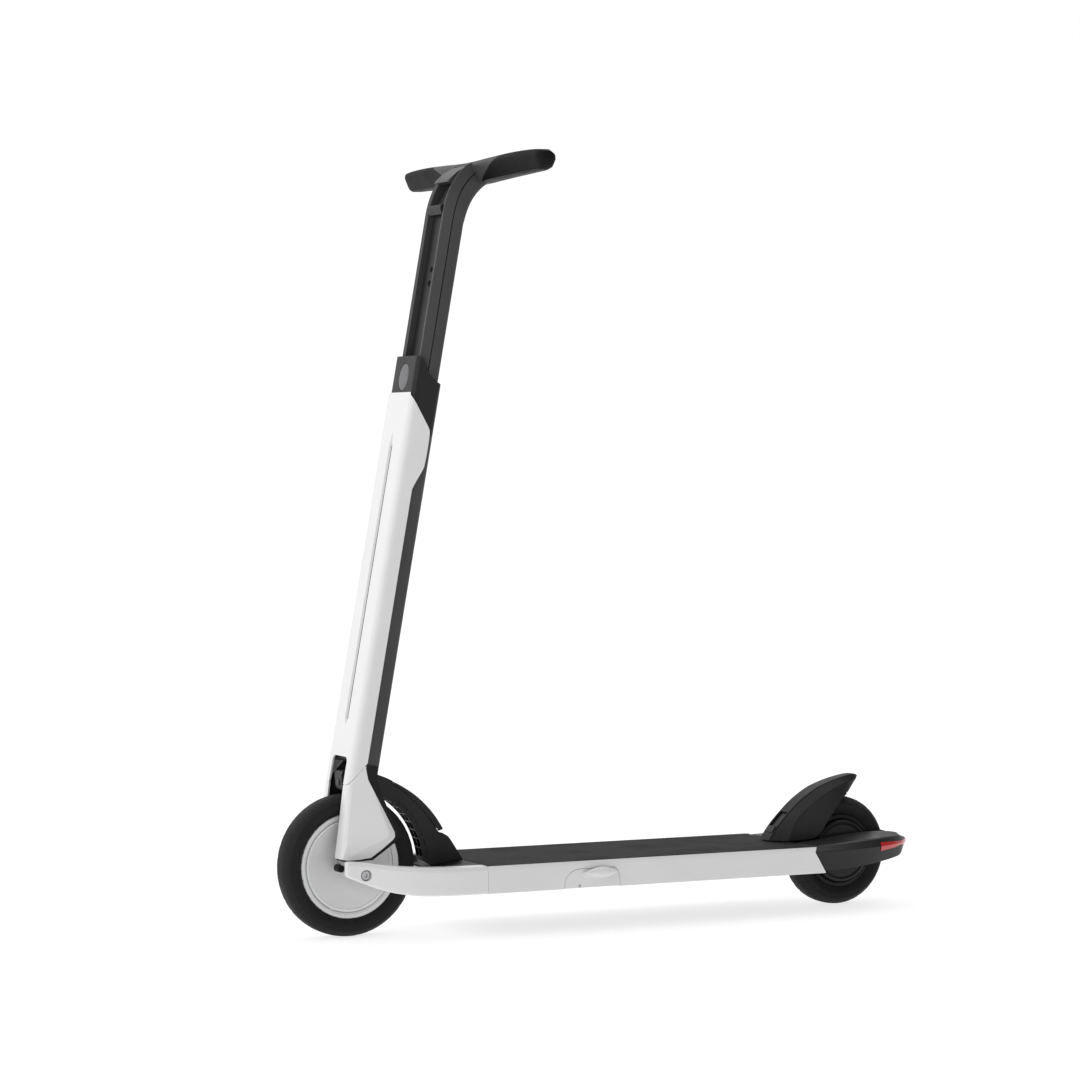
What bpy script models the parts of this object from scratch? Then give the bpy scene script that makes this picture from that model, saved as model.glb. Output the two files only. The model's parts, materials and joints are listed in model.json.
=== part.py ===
"""Folding electric kick scooter, built from separate solids.

+X is forward, +Y is the rider's left, +Z is up. The origin is on the floor under the middle of the scooter.
Dimensions are in millimetres and become metres in finish_object(). Chassis outlines are written as
(distance behind the front hub, height above the floor). Column pieces use the steering frame: u forward,
v to the left and w up along the steering axis, with its origin in the front hub.
"""

from math import cos, pi, radians, sin

import bmesh
import bpy
from mathutils import Matrix, Vector

MM = 0.001
GAP = 0.3

# driving dimensions
WHEELBASE = 754.6
FRONT_RADIUS = 95.0
REAR_RADIUS = 77.2
TAIL_BACK = 868.0
FRONT_X = (FRONT_RADIUS + TAIL_BACK) / 2 - FRONT_RADIUS
FOLD_Z = 88.0
LEAN = radians(10.1)

DECK_TOP = 94.3
DECK_BOTTOM = 57.4
DECK_FRONT = 164.4
DECK_REAR = 666.0
DECK_HALF = 97.5
MAT_REAR = 634.0
RAIL_THICK = 5.1
MAT_THICK = 2.7

COLUMN_HALF = 42.0
COLUMN_FRONT = 33.0
COLUMN_REAR = -10.0
COVER_WALL = 2.4
FORK_GAP = 24.5
SLIDE_HALF = 37.0
SLIDE_FRONT = 24.5
SLIDE_REAR = -7.0
COLLAR_BOTTOM = 581.0
COLLAR_TOP = 683.0
BAR_HALF = 220.0

COLOURS = {
    "white": ((0.80, 0.80, 0.79), 0.35, 0.0),
    "dark": ((0.055, 0.055, 0.058), 0.45, 0.1),
    "black": ((0.02, 0.02, 0.021), 0.6, 0.0),
    "rubber": ((0.03, 0.03, 0.031), 0.8, 0.0),
    "silver": ((0.62, 0.62, 0.62), 0.35, 0.6),
    "steel": ((0.45, 0.45, 0.46), 0.3, 1.0),
    "red": ((0.55, 0.02, 0.02), 0.2, 0.0),
    "battery": ((0.05, 0.12, 0.30), 0.5, 0.0),
}


def clear_scene():
    for item in list(bpy.data.objects):
        bpy.data.objects.remove(item)


def surface(name):
    found = bpy.data.materials.get(name)
    if found:
        return found
    colour, roughness, metallic = COLOURS[name]
    material = bpy.data.materials.new(name)
    material.use_nodes = True
    shader = material.node_tree.nodes["Principled BSDF"]
    shader.inputs["Base Color"].default_value = (*colour, 1.0)
    shader.inputs["Roughness"].default_value = roughness
    shader.inputs["Metallic"].default_value = metallic
    return material


def pivot(name, x, z, y=0.0, lean=0.0, parent=None):
    """An empty on a joint axis; x, y and z are in its parent's frame, in millimetres."""
    empty = bpy.data.objects.new(name, None)
    bpy.context.scene.collection.objects.link(empty)
    empty.matrix_local = Matrix.Translation(Vector((x, y, z)) * MM) @ Matrix.Rotation(-lean, 4, "Y")
    empty.parent = parent
    return empty


def finish_object(name, mesh, colour, parent):
    """Turn a bmesh in the parent's frame, in millimetres, into a finished object in metres."""
    bmesh.ops.recalc_face_normals(mesh, faces=mesh.faces)
    bmesh.ops.scale(mesh, vec=(MM, MM, MM), verts=mesh.verts)
    data = bpy.data.meshes.new(name)
    mesh.to_mesh(data)
    mesh.free()
    data.shade_smooth()
    data.set_sharp_from_angle(angle=radians(35))
    data.materials.append(surface(colour))
    item = bpy.data.objects.new(name, data)
    bpy.context.scene.collection.objects.link(item)
    item.parent = parent
    return item


def loft_mesh(rings):
    """Closed mesh through rings of equal length, capped at both ends."""
    mesh = bmesh.new()
    rows = [[mesh.verts.new(point) for point in ring] for ring in rings]
    count = len(rings[0])
    for near, far in zip(rows, rows[1:]):
        for i in range(count):
            j = (i + 1) % count
            mesh.faces.new((near[i], near[j], far[j], far[i]))
    mesh.faces.new(rows[0])
    mesh.faces.new(rows[-1][::-1])
    return mesh


def loft(name, rings, colour, parent=None):
    return finish_object(name, loft_mesh(rings), colour, parent)


def prism(name, outline, low, high, colour, parent=None, along="y"):
    """Extrude an outline: (x, z) along y, (x, y) along z, or (y, z) along x."""
    place = {
        "y": lambda p, t: (p[0], t, p[1]),
        "z": lambda p, t: (p[0], p[1], t),
        "x": lambda p, t: (t, p[0], p[1]),
    }[along]
    rings = [[place(point, t) for point in outline] for t in (low, high)]
    return loft(name, rings, colour, parent)


def block(name, x, y, z, colour, parent=None):
    corners = ((x[0], z[0]), (x[1], z[0]), (x[1], z[1]), (x[0], z[1]))
    return prism(name, corners, y[0], y[1], colour, parent)


def turned(name, profile, colour, parent=None, segments=32):
    """Revolve a closed (radius, y) profile about the local y axis."""
    mesh = bmesh.new()
    rows = []
    for k in range(segments):
        angle = 2 * pi * k / segments
        rows.append([mesh.verts.new((r * cos(angle), y, r * sin(angle))) for r, y in profile])
    for k in range(segments):
        near, far = rows[k], rows[(k + 1) % segments]
        for i in range(len(profile)):
            j = (i + 1) % len(profile)
            mesh.faces.new((near[i], near[j], far[j], far[i]))
    return finish_object(name, mesh, colour, parent)


def pin(name, centre, low, high, radius, colour, parent=None, along="y", segments=16):
    """Cylinder; centre is (x, z) for a pin along y and (x, y) for a pin along z."""
    outline = []
    for k in range(segments):
        angle = 2 * pi * (k + 0.5) / segments
        outline.append((centre[0] + radius * cos(angle), centre[1] + radius * sin(angle)))
    return prism(name, outline, low, high, colour, parent, along)


def combine(target, tool, operation):
    """Apply a Boolean of two objects that share one parent, and drop the tool."""
    bpy.context.view_layer.update()
    modifier = target.modifiers.new(operation, "BOOLEAN")
    modifier.operation = operation
    modifier.object = tool
    modifier.solver = "EXACT"
    graph = bpy.context.evaluated_depsgraph_get()
    result = bpy.data.meshes.new_from_object(target.evaluated_get(graph))
    target.modifiers.clear()
    target.data = result
    bpy.data.objects.remove(tool)
    return target


def cut(target, tool):
    return combine(target, tool, "DIFFERENCE")


def fuse(target, tool):
    return combine(target, tool, "UNION")


def ahead(points):
    """Outline points given behind the front hub, in scooter coordinates."""
    return [(FRONT_X - back, up) for back, up in points]


def around_fold(radius, degrees):
    """Point at a radius from the fold axis; 0 degrees points to the rear, 90 up."""
    angle = radians(degrees)
    return radius * cos(angle), FOLD_Z + radius * sin(angle)


def arc_points(radius_at, start, end, steps):
    points = []
    for k in range(steps + 1):
        degrees = start + (end - start) * k / steps
        points.append(around_fold(radius_at(degrees), degrees))
    return points


def rounded(x0, x1, y0, y1, corners, steps=4):
    """Rectangle outline, counter-clockwise; corners gives the radii from (x0, y0) onward."""
    centres = (
        (x0, y0, 1, 1, pi),
        (x1, y0, -1, 1, 1.5 * pi),
        (x1, y1, -1, -1, 0.0),
        (x0, y1, 1, -1, 0.5 * pi),
    )
    points = []
    for (cx, cy, sx, sy, start), radius in zip(centres, corners):
        if radius == 0:
            points.append((cx, cy))
            continue
        for k in range(steps + 1):
            angle = start + 0.5 * pi * k / steps
            points.append((cx + sx * radius + radius * cos(angle), cy + sy * radius + radius * sin(angle)))
    return points


def column_point(back, up):
    """A point behind the front hub, at a height, in the steering frame's (u, w)."""
    rise = up - FRONT_RADIUS
    return rise * sin(LEAN) - back * cos(LEAN), rise * cos(LEAN) + back * sin(LEAN)


# ---------------------------------------------------------------- deck


def deck():
    mat_low = DECK_TOP - MAT_THICK
    inner = DECK_HALF - RAIL_THICK
    front = FRONT_X - DECK_FRONT
    rear = FRONT_X - DECK_REAR
    tray = block("deck_tray", (rear, front), (-inner + GAP, inner - GAP), (57.6, mat_low - GAP), "dark")
    hollow = block("tray_hollow", (rear + 8, front - 6), (-84, 84), (50.0, 87.5), "dark")
    cut(tray, hollow)
    tail_step = block("tail_step", (rear, FRONT_X - MAT_REAR - GAP), (-95.1, 95.1), (mat_low - 1.0, DECK_TOP), "dark")
    cut(tail_step, block("step_side", (rear - 5, front), (inner - GAP, 120), (80.0, mat_low), "dark"))
    cut(tail_step, block("step_side", (rear - 5, front), (-120, -inner + GAP), (80.0, mat_low), "dark"))
    fuse(tray, tail_step)
    block("bottom_cover", (rear + 8 + GAP, front - 6 - GAP), (-84 + GAP, 84 - GAP), (58.0, 60.0), "black")
    block("deck_mat", (FRONT_X - MAT_REAR, front - 0.4), (-95.1, 95.1), (mat_low, DECK_TOP), "rubber")
    block("battery_pack", (rear + 30, front - 150), (-72, 72), (60.5, 85.0), "battery")
    block("controller", (front - 130, front - 20), (-45, 45), (60.5, 84.0), "silver")


RAIL_POINT = (667.0, 87.0)


def rail_end(z):
    """Distance behind the hub where the rail meets the tail shell, at a height."""
    if z > RAIL_POINT[1]:
        return RAIL_POINT[0] + (z - RAIL_POINT[1]) * 0.4
    return RAIL_POINT[0] + (RAIL_POINT[1] - z) * 0.6


def rail(side, name):
    """White side rail; its rear edge is a shallow V that meets the tail shell."""
    outer = DECK_HALF
    inner = outer - RAIL_THICK
    section = (
        (inner, DECK_BOTTOM),
        (outer - 1.2, DECK_BOTTOM),
        (outer, DECK_BOTTOM + 2.6),
        (outer, 89.0),
        (95.7, DECK_TOP),
        (95.4, DECK_TOP),
        (95.4, 91.3),
        (inner, 91.3),
    )
    section = [(side * y, z) for y, z in section]

    body = prism(name, section, FRONT_X - 720.0, FRONT_X - DECK_FRONT, "white", along="x")
    behind = [(rail_end(z), z) for z in (40.0, RAIL_POINT[1], 110.0)]
    behind += [(760.0, 110.0), (760.0, 40.0)]
    return cut(body, prism("rail_end_cut", ahead(behind), -110.0, 110.0, "white"))


STAND_PIVOT = (300.0, 61.0)
STAND_ROUND = 22.6
STAND_FOOT = 58.4


def stand_outline(grow):
    """Leg outline in the left rail: a big round end over the pivot and a straight leg to the rear."""
    back, up = STAND_PIVOT
    points = []
    for k in range(7):
        angle = radians(186.6 - 96.6 * k / 6)
        radius = STAND_ROUND + grow
        points.append((back + radius * cos(angle), up + radius * sin(angle)))
    points += [
        (352.0 + 0.6 * grow, 83.5 + grow),
        (358.5 + grow, 78.0 + 0.6 * grow),
        (360.5 + grow, 68.0),
        (360.7 + grow, STAND_FOOT),
    ]
    return ahead(points)


def kickstand(left_rail):
    room = stand_outline(0.6)
    room = [(room[0][0], 50.0)] + room[:-1] + [(room[-1][0], 50.0)]
    cut(left_rail, prism("stand_slot", room, 90.0, 99.0, "white"))
    x, z = FRONT_X - STAND_PIVOT[0], STAND_PIVOT[1]
    axis = pivot("kickstand_axis", x, z)
    local = [(px - x, pz - z) for px, pz in stand_outline(0.0)]
    leg = prism("kickstand_leg", local, 92.8, 97.3, "white", axis)
    tab = ((306, 71, 1), (318, 70, 6), (335, 71, 6), (354, 77, 1))
    rings = []
    for back, low, reach in tab:
        high = 79.0 + (back - 306) * 0.06
        px = FRONT_X - back - x
        rings.append([(px, 95.0, low - z), (px, 97.3 + reach, low + 4 - z), (px, 97.3 + reach, high - z),
                      (px, 95.0, high + 1 - z)])
    fuse(leg, loft("stand_tab", rings, "white", axis))
    cut(leg, pin("stand_bore", (0, 0), 90.0, 99.0, 2.3, "white", axis))
    pin("kickstand_pin", (x, z), 85.0, 96.8, 2.0, "steel")
    return axis


def charging(right_rail):
    """Charge port in the right rail, behind a flap hinged along its top edge."""
    x = FRONT_X - 215.0
    window = block("port_window", (x - 12, x + 12), (-99, -90), (66, 84), "white")
    cut(right_rail, window)
    port = pin("charge_port", (x, 74.0), -93.9, -84.4, 7.0, "black", segments=20)
    cut(port, pin("port_socket", (x, 74.0), -95.0, -87.0, 4.5, "black", segments=12))
    axis = pivot("charge_cap_axis", x, 82.2, y=-95.9)
    prism("charge_cap", rounded(-11.4, 11.4, -15.6, 0.8, (3, 3, 0.8, 0.8), 2), -1.4, 1.4, "black", axis)


def bored_tray():
    """Clearance holes in the tray wall for the stand pin and the charge port."""
    tray = bpy.data.objects["deck_tray"]
    hole = pin("pin_hole", (FRONT_X - STAND_PIVOT[0], STAND_PIVOT[1]), 80.0, 95.0, 2.3, "dark")
    cut(tray, hole)
    cut(tray, pin("port_hole", (FRONT_X - 215.0, 74.0), -95.0, -80.0, 7.4, "dark", segments=20))


# ---------------------------------------------------------------- yoke and fold arc

ARM_STATIONS = (
    # behind the hub, inner y, outer y, bottom, top, shoulder height
    (-26.5, 59.5, 67.0, 89.0, 104.0, 102.0),
    (-23.0, 58.2, 69.0, 85.5, 107.0, 103.0),
    (0.0, 58.2, 70.5, 76.0, 104.5, 99.5),
    (30.0, 62.5, 78.5, 65.0, 100.0, 94.5),
    (67.0, 70.0, 89.0, 59.0, 96.6, 91.0),
    (110.0, 75.0, 95.5, 57.6, 94.6, 89.0),
    (164.0, 76.3, DECK_HALF, DECK_BOTTOM, DECK_TOP, 89.0),
)


def arm(side, name):
    rings = []
    for back, inner, outer, bottom, top, shoulder in ARM_STATIONS:
        x = FRONT_X - back
        edge = min(2.6, (outer - inner) / 4)
        ring = (
            (inner, bottom + 0.5),
            (outer - 1.0, bottom),
            (outer, bottom + 3.0),
            (outer, shoulder),
            (outer - edge, top),
            (inner, top),
        )
        rings.append([(x, side * y, z) for y, z in ring])
    body = loft(name, rings, "white")
    low, high = sorted((side * 64.5, side * 80.0))
    cut(body, pin("counterbore", (FRONT_X, FOLD_Z), low, high, 7.5, "white", segments=24))
    low, high = sorted((side * 50.0, side * 80.0))
    cut(body, pin("through_bore", (FRONT_X, FOLD_Z), low, high, 4.3, "white"))
    return body


def pivot_bolt(side, name):
    head = (side * 64.8, side * 68.2)
    shank = (side * 58.4, side * 65.5)
    bolt = pin(name, (FRONT_X, FOLD_Z), min(head), max(head), 6.0, "steel", segments=20)
    fuse(bolt, pin("shank", (FRONT_X, FOLD_Z), min(shank), max(shank), 4.0, "steel", segments=20))
    socket = (side * 66.2, side * 72.0)
    cut(bolt, pin("socket", (FRONT_X, FOLD_Z), min(socket), max(socket), 2.6, "steel", segments=6))


PLATE_THICK = 2.4
TROUGH_HALF = 61.0


def nose_section(half, centre, top, bottom):
    """Section across the nose: a shallow trough in the middle leaves room for the folded column."""
    flat = TROUGH_HALF - (top - centre) * 0.9
    return (
        (-half, bottom),
        (half, bottom),
        (half, top),
        (TROUGH_HALF, top),
        (flat, centre),
        (-flat, centre),
        (-TROUGH_HALF, top),
        (-half, top),
    )


def nose():
    """Bridge between the arms, and the black plate on top of it."""
    stations = (
        # behind the hub, half width, height of the trough
        (118.0, 74.6, 85.6),
        (140.0, 75.2, 90.2),
        (160.0, 75.7, DECK_TOP - 0.02),
        (164.0, 75.7, DECK_TOP - 0.01),
    )
    plate, bridge = [], []
    for back, half, centre in stations:
        x = FRONT_X - back
        top = nose_section(half, centre, DECK_TOP, 60.0)[2:]
        lower = [(y, z - PLATE_THICK) for y, z in top[::-1]]
        plate.append([(x, y, z) for y, z in list(top) + lower])
        bridge.append([(x, y, z) for y, z in nose_section(half, centre - 3.0, DECK_TOP - 3.0, 60.0)])
    loft("nose_plate", plate, "black")
    loft("yoke_bridge", bridge, "white")


ARC_INNER = 108.0
ARC_HALF = 12.0
PEDAL_HALF = 14.0
PEDAL_START = 60.0
PEDAL_END = 20.0
PEDAL_TRAVEL = 2.5


def arc_outer(degrees):
    """Outer radius of the arc and of the pedal on it."""
    if degrees >= PEDAL_START:
        return 133.0
    return 133.0 + 12.5 * ((PEDAL_START - degrees) / (PEDAL_START - PEDAL_END)) ** 1.3


def arc_seam(degrees):
    """Radius of the parting line under the pedal."""
    if degrees >= 45.0:
        return 129.3
    return 129.3 + 8.2 * ((45.0 - degrees) / 25.0) ** 1.8


def fold_arc():
    nose_end = 94.0
    outline = arc_points(lambda d: ARC_INNER, 4.0, nose_end, 14)
    outline += arc_points(arc_outer, nose_end, PEDAL_START + 1.5, 5)
    outline += arc_points(arc_seam, PEDAL_START + 1.5, PEDAL_END - 0.5, 7)
    outline += [(130.8, 133.4), (144.1, 127.3), (148.5, 121.7), (164.3, 94.9), (159.0, 94.9), (119.0, 87.0)]
    arc = prism("fold_arc", ahead(outline), -ARC_HALF, ARC_HALF, "dark")
    pocket_z = FOLD_Z + 118.0
    bore = prism("bolt_pocket", rounded(FRONT_X - 30.0, FRONT_X + 20.0, -4.3, 4.3, (0, 0, 0, 0)),
                 pocket_z - 4.3, pocket_z + 4.3, "dark", along="z")
    cut(arc, bore)
    return pocket_z


def fold_pedal():
    hinge = around_fold(129.3, PEDAL_START + 1.0)
    axis = pivot("fold_pedal_axis", FRONT_X - hinge[0], hinge[1])
    rings = []
    steps = 8
    for k in range(steps + 1):
        degrees = PEDAL_START + (PEDAL_END - PEDAL_START) * k / steps
        lift = 4.4 * k / steps + 0.4
        half, inner = PEDAL_HALF, ARC_HALF + 0.35
        seam, top = arc_seam(degrees) + 0.3, arc_outer(degrees)
        under = min(seam + lift, top - 2.0)
        profile = ((top, -half), (top, half), (seam, half), (seam, inner), (under, inner), (under, -inner),
                   (seam, -inner), (seam, -half))
        ring = []
        for radius, y in profile:
            back, up = around_fold(radius, degrees)
            ring.append((hinge[0] - back, y, up - hinge[1]))
        rings.append(ring)
    loft("fold_pedal", rings, "dark", axis)


def latch_bolt(pocket_z):
    axis = pivot("latch_bolt_axis", FRONT_X, pocket_z)
    outline = rounded(-22.0, 12.0, -4.0, 4.0, (0, 1.5, 1.5, 0), 2)
    prism("latch_bolt", outline, -4.0, 4.0, "steel", axis, along="z")


# ---------------------------------------------------------------- rear end


def tail_shell(side, name):
    """Dark shell beside the rear wheel; both halves meet behind it."""
    stations = (
        # behind the hub, inner y, outer y, bottom, middle, shoulder, top
        (660.0, 39.0, 97.0, 60.0, 86.5, 93.0, 93.6),
        (700.0, 39.0, 95.0, 58.2, 87.0, 94.6, 96.5),
        (740.0, 39.0, 90.0, 59.5, 87.5, 96.0, 100.0),
        (780.0, 39.0, 79.0, 63.5, 88.0, 98.0, 103.5),
        (815.0, 39.0, 64.0, 67.0, 88.0, 98.5, 104.0),
        (835.5, 37.0, 51.0, 69.0, 87.5, 98.0, 103.5),
        (837.0, 0.2, 50.0, 69.2, 87.5, 98.0, 103.4),
        (855.0, 0.2, 32.0, 72.0, 86.5, 95.0, 98.5),
        (TAIL_BACK, 0.2, 10.0, 76.0, 85.0, 89.0, 90.0),
    )
    rings = []
    for back, inner, outer, bottom, middle, shoulder, top in stations:
        x = FRONT_X - back
        edge = min(5.0, (outer - inner) * 0.4)
        ring = (
            (inner, bottom),
            (outer - edge, bottom),
            (outer, middle - 4),
            (outer, middle),
            (outer - edge, shoulder),
            (inner, top),
        )
        rings.append([(x, side * y, z) for y, z in ring])
    body = loft(name, rings, "dark")
    front = [(rail_end(z) + 0.5, z) for z in (40.0, RAIL_POINT[1], 120.0)]
    front += [(640.0, 120.0), (640.0, 40.0)]
    cut(body, prism("rail_side", ahead(front), -110.0, 110.0, "dark"))
    ports = sorted((side * 30.0, side * 60.0))
    cut(body, pin("axle_bore", (FRONT_X - WHEELBASE, REAR_RADIUS), ports[0], ports[1], 6.4, "dark"))
    return body


def tail_lens():
    """Red lens: a thin band let into the left shell and wrapped on its face."""
    shell = bpy.data.objects["tail_shell_left"]
    stations = ((790.0, 75.1), (815.0, 64.0), (837.0, 50.0), (855.0, 32.0), (866.0, 13.0))
    rings, pockets = [], []
    for back, outer in stations:
        x = FRONT_X - back
        low, high = 79.5, 87.0
        rings.append([(x, outer - 2.5, low), (x - 0.4, outer + 0.6, low), (x - 0.4, outer + 0.6, high),
                      (x, outer - 2.5, high)])
        deep, spread = outer - 3.7, 0.35
        pockets.append([(x, deep, low - spread), (x, outer + 6, low - spread),
                        (x, outer + 6, high + spread), (x, deep, high + spread)])
    first, last = pockets[0], pockets[-1]
    pockets[0] = [(x + 0.5, y, z) for x, y, z in first]
    pockets[-1] = [(x - 1.2, y - 2.0, z) for x, y, z in last]
    cut(shell, loft("lens_pocket", pockets, "dark"))
    loft("tail_lens", rings, "red")


def rear_fork():
    """Fork plates on both sides of the rear wheel, joined by a cross plate under the deck's rear edge."""
    rear = FRONT_X - DECK_REAR
    fork = block("rear_fork", (rear - 4.0, rear - GAP), (-38.0, 38.0), (62.0, 91.0), "black")
    for side in (-1, 1):
        low, high = sorted((side * 33.0, side * 38.0))
        outline = ahead(((668.5, 63.0), (745.0, 63.0), (768.0, 70.0), (768.0, 85.0), (745.0, 91.0), (668.5, 91.0)))
        fuse(fork, prism("plate", outline, low, high, "black"))
    cut(fork, pin("axle_hole", (FRONT_X - WHEELBASE, REAR_RADIUS), -50, 50, 6.3, "black"))


def rear_wheel():
    x = FRONT_X - WHEELBASE
    hub = pivot("rear_spin_axis", x, REAR_RADIUS)
    r = REAR_RADIUS
    tyre = ((r, -10), (r, 10), (r - 1.2, 14), (r - 4, 17.5), (r - 8.5, 20.2), (r - 16, 20.2), (52.3, 16),
            (52.3, -16), (r - 16, -20.2), (r - 8.5, -20.2), (r - 4, -17.5), (r - 1.2, -14))
    turned("rear_tyre", tyre, "rubber", hub, 40)
    rim = ((52.0, -15.5), (52.0, 15.5), (45.0, 17.0), (43.0, 12.5), (43.0, -12.5), (45.0, -17.0))
    turned("rear_rim", rim, "black", hub, 32)
    for side, name in ((1, "rear_cover_left"), (-1, "rear_cover_right")):
        cover = ((42.5, 12.8), (44.3, 18.2), (42.0, 23.5), (36.0, 25.0), (16.3, 25.0), (16.3, 21.0), (34.0, 18.0))
        turned(name, [(radius, side * y) for radius, y in cover], "dark", hub, 32)
    turned("rear_bearing", ((8.3, 14.0), (16.0, 14.0), (16.0, 24.0), (8.3, 24.0)), "steel", hub, 24)
    fixed = pivot("rear_axle_frame", x, REAR_RADIUS)
    turned("rear_stator", ((8.3, -12.0), (36.0, -12.0), (36.0, 12.0), (8.3, 12.0)), "steel", fixed, 28)
    axle = pin("rear_axle", (0, 0), -46.0, 46.0, 8.0, "steel", fixed, segments=20)
    for low, high in ((-50.0, -26.0), (26.0, 50.0)):
        sleeve = turned("shoulder", ((6.0, low), (12.0, low), (12.0, high), (6.0, high)), "steel", fixed, 20)
        cut(axle, sleeve)
    return hub


FENDER_PIVOT = (652.0, 100.5)


def fender():
    back, up = FENDER_PIVOT
    axis = pivot("rear_fender_axis", FRONT_X - back, up)
    outline = (
        (636.0, 96.0), (641.4, 107.5), (652.9, 118.6), (670.5, 137.4), (697.2, 157.4), (723.9, 170.9),
        (750.3, 181.0), (777.9, 185.7), (788.5, 181.3), (785.3, 170.4), (775.4, 153.1), (757.0, 146.0),
        (737.0, 131.0), (722.0, 104.0), (700.0, 99.5), (664.0, 96.0),
    )
    local = [(back - b, z - up) for b, z in outline]
    fin = prism("rear_fender", local, -30.0, 30.0, "dark", axis)
    wheel_room = pin("wheel_room", (back - WHEELBASE, REAR_RADIUS - up), -26.0, 26.0, 83.5, "dark", axis, segments=48)
    cut(fin, wheel_room)
    cut(fin, pin("pin_bore", (0, 0), -40.0, 40.0, 3.3, "dark", axis))
    slot_length, slot_height = (back - 742.0, back - 724.0), (149.0 - up, 158.0 - up)
    slot = block("shoe_slot", slot_length, (-12.0, 12.0), slot_height, "dark", axis)
    cut(fin, slot)
    block("brake_pad", (back - 741.6, back - 724.4), (-11.6, 11.6), (156.0 - up, 157.6 - up), "rubber", axis)
    ears = block("fender_bracket", (FRONT_X - 663.0, FRONT_X - 646.0), (-45.0, 45.0), (94.7, 95.5), "black")
    for side in (-1, 1):
        low, high = sorted((side * 31.0, side * 35.0))
        outline = ahead(((646.0, 95.0), (663.0, 95.0), (658.0, 105.0), (648.0, 105.0)))
        ear = prism("ear", outline, low, high, "black")
        fuse(ears, ear)
        cut(ears, pin("ear_bore", (FRONT_X - back, up), low - 5, high + 5, 3.2, "black"))
    pin("fender_pin", (FRONT_X - back, up), -36.0, 36.0, 2.9, "steel")
    return axis


# ---------------------------------------------------------------- front wheel and steering


def front_wheel(parent):
    hub = pivot("front_spin_axis", 0, 0, parent=parent)
    r = FRONT_RADIUS
    tyre = ((r, -10), (r, 10), (r - 1.0, 14), (r - 3.6, 18), (r - 8.6, 21.8), (r - 17, 21.8), (70.3, 16.0),
            (70.3, -16.0), (r - 17, -21.8), (r - 8.6, -21.8), (r - 3.6, -18), (r - 1.0, -14))
    turned("front_tyre", tyre, "rubber", hub, 48)
    rim = ((70.0, -15.3), (70.0, 15.3), (66.0, 15.3), (62.0, 13.0), (62.0, -13.0), (66.0, -15.3))
    turned("front_rim", rim, "silver", hub, 40)
    for side, name in ((1, "front_disc_left"), (-1, "front_disc_right")):
        dish = ((61.7, 9.5), (61.7, 12.8), (50.0, 11.0), (34.0, 8.0), (34.0, 4.5), (50.0, 7.5))
        turned(name, [(radius, side * y) for radius, y in dish], "silver", hub, 40)
    turned("front_bearing", ((28.3, -8.0), (33.7, -8.0), (33.7, 8.0), (28.3, 8.0)), "steel", hub, 24)
    return hub


def cross_axle(fold_axis):
    """Axle between the yoke arms with the kingpin through its middle."""
    axle = pin("kingpin_axle", (0, 0), -57.8, 57.8, 5.0, "steel", fold_axis)
    lift = FRONT_RADIUS - FOLD_Z
    outline = []
    for k in range(16):
        angle = 2 * pi * (k + 0.5) / 16
        outline.append((5.0 * cos(angle), 5.0 * sin(angle)))
    turn = Matrix.Translation((0, 0, lift)) @ Matrix.Rotation(-LEAN, 4, "Y")
    rings = [[turn @ Vector((u, v, w)) for u, v in outline] for w in (-22.0, 20.0)]
    fuse(axle, loft("kingpin", rings, "steel", fold_axis))
    return axle


def knuckle(column):
    body = pin("steering_knuckle", (0, 0), -14.0, 14.0, 28.0, "silver", column, segments=24)
    drop = (FRONT_RADIUS - FOLD_Z) * cos(LEAN)
    side = -(FRONT_RADIUS - FOLD_Z) * sin(LEAN)
    slot = block("axle_slot", (side - 12, side + 12), (-20, 20), (-drop - 6, -drop + 6), "silver", column)
    cut(body, slot)
    cut(body, pin("kingpin_bore", (0, 0), -40, 40, 5.4, "silver", column, along="z"))


def fork_leg(side, name, column):
    """Dark leg beside the wheel with an ear on the knuckle and a short tip below the cover."""
    outline = (
        (29.0, 104.0), (27.0, 66.0), (25.0, 24.0), (25.5, 6.0), (27.5, 4.0), (27.5, -9.0), (18.5, -9.0),
        (18.5, 5.5), (-15.0, 13.0), (-44.5, 44.0), (-46.0, 54.0), (-12.5, 99.0), (8.0, 128.0), (12.0, 134.0),
    )
    inner, outer = side * (FORK_GAP + 0.6), side * 41.6
    leg = prism(name, outline, min(inner, outer), max(inner, outer), "black", column)
    ear_low, ear_high = sorted((side * 14.3, side * (FORK_GAP + 2)))
    ear = pin("ear", (0, 0), ear_low, ear_high, 26.5, "black", column, segments=24)
    cut(ear, block("lower_half", (-40, 40), (-60, 60), (-40, 9), "black", column))
    fuse(leg, ear)


def fork_cover(side, name, column):
    """White cover outside the leg: a flat front facet and a side facet that swells to the lower rear."""
    front = [(33.0, 105.5), (30.5, 65.0), (28.5, 24.0), (27.0, 8.5)]
    rear = [(12.5, 135.0), (5.5, 116.0), (-42.0, 53.0), (-43.0, 47.0), (-16.0, 17.0)]
    width = {front[0]: 42.0, front[1]: 44.0, front[2]: 46.0, front[3]: 46.5, rear[0]: 42.2, rear[1]: 43.0,
             rear[2]: 52.0, rear[3]: 52.0, rear[4]: 50.0}
    outline = front + rear[::-1]
    inner = side * 41.95
    near = [(u, inner, w) for u, w in outline]
    far = []
    for u, w in outline:
        far.append((u, side * (width[(u, w)] + 1.2), w))
    cover = loft(name, [near, far], "white", column)
    lip_outline = [(33.0, 104.6), (30.5, 65.0), (28.5, 24.0), (27.0, 8.5), (25.9, 8.5), (25.6, 24.0), (27.6, 65.5),
                   (29.7, 104.6)]
    low, high = sorted((side * FORK_GAP, side * 43.0))
    fuse(cover, prism("front_lip", lip_outline, low, high, "white", column))
    return cover


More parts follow.
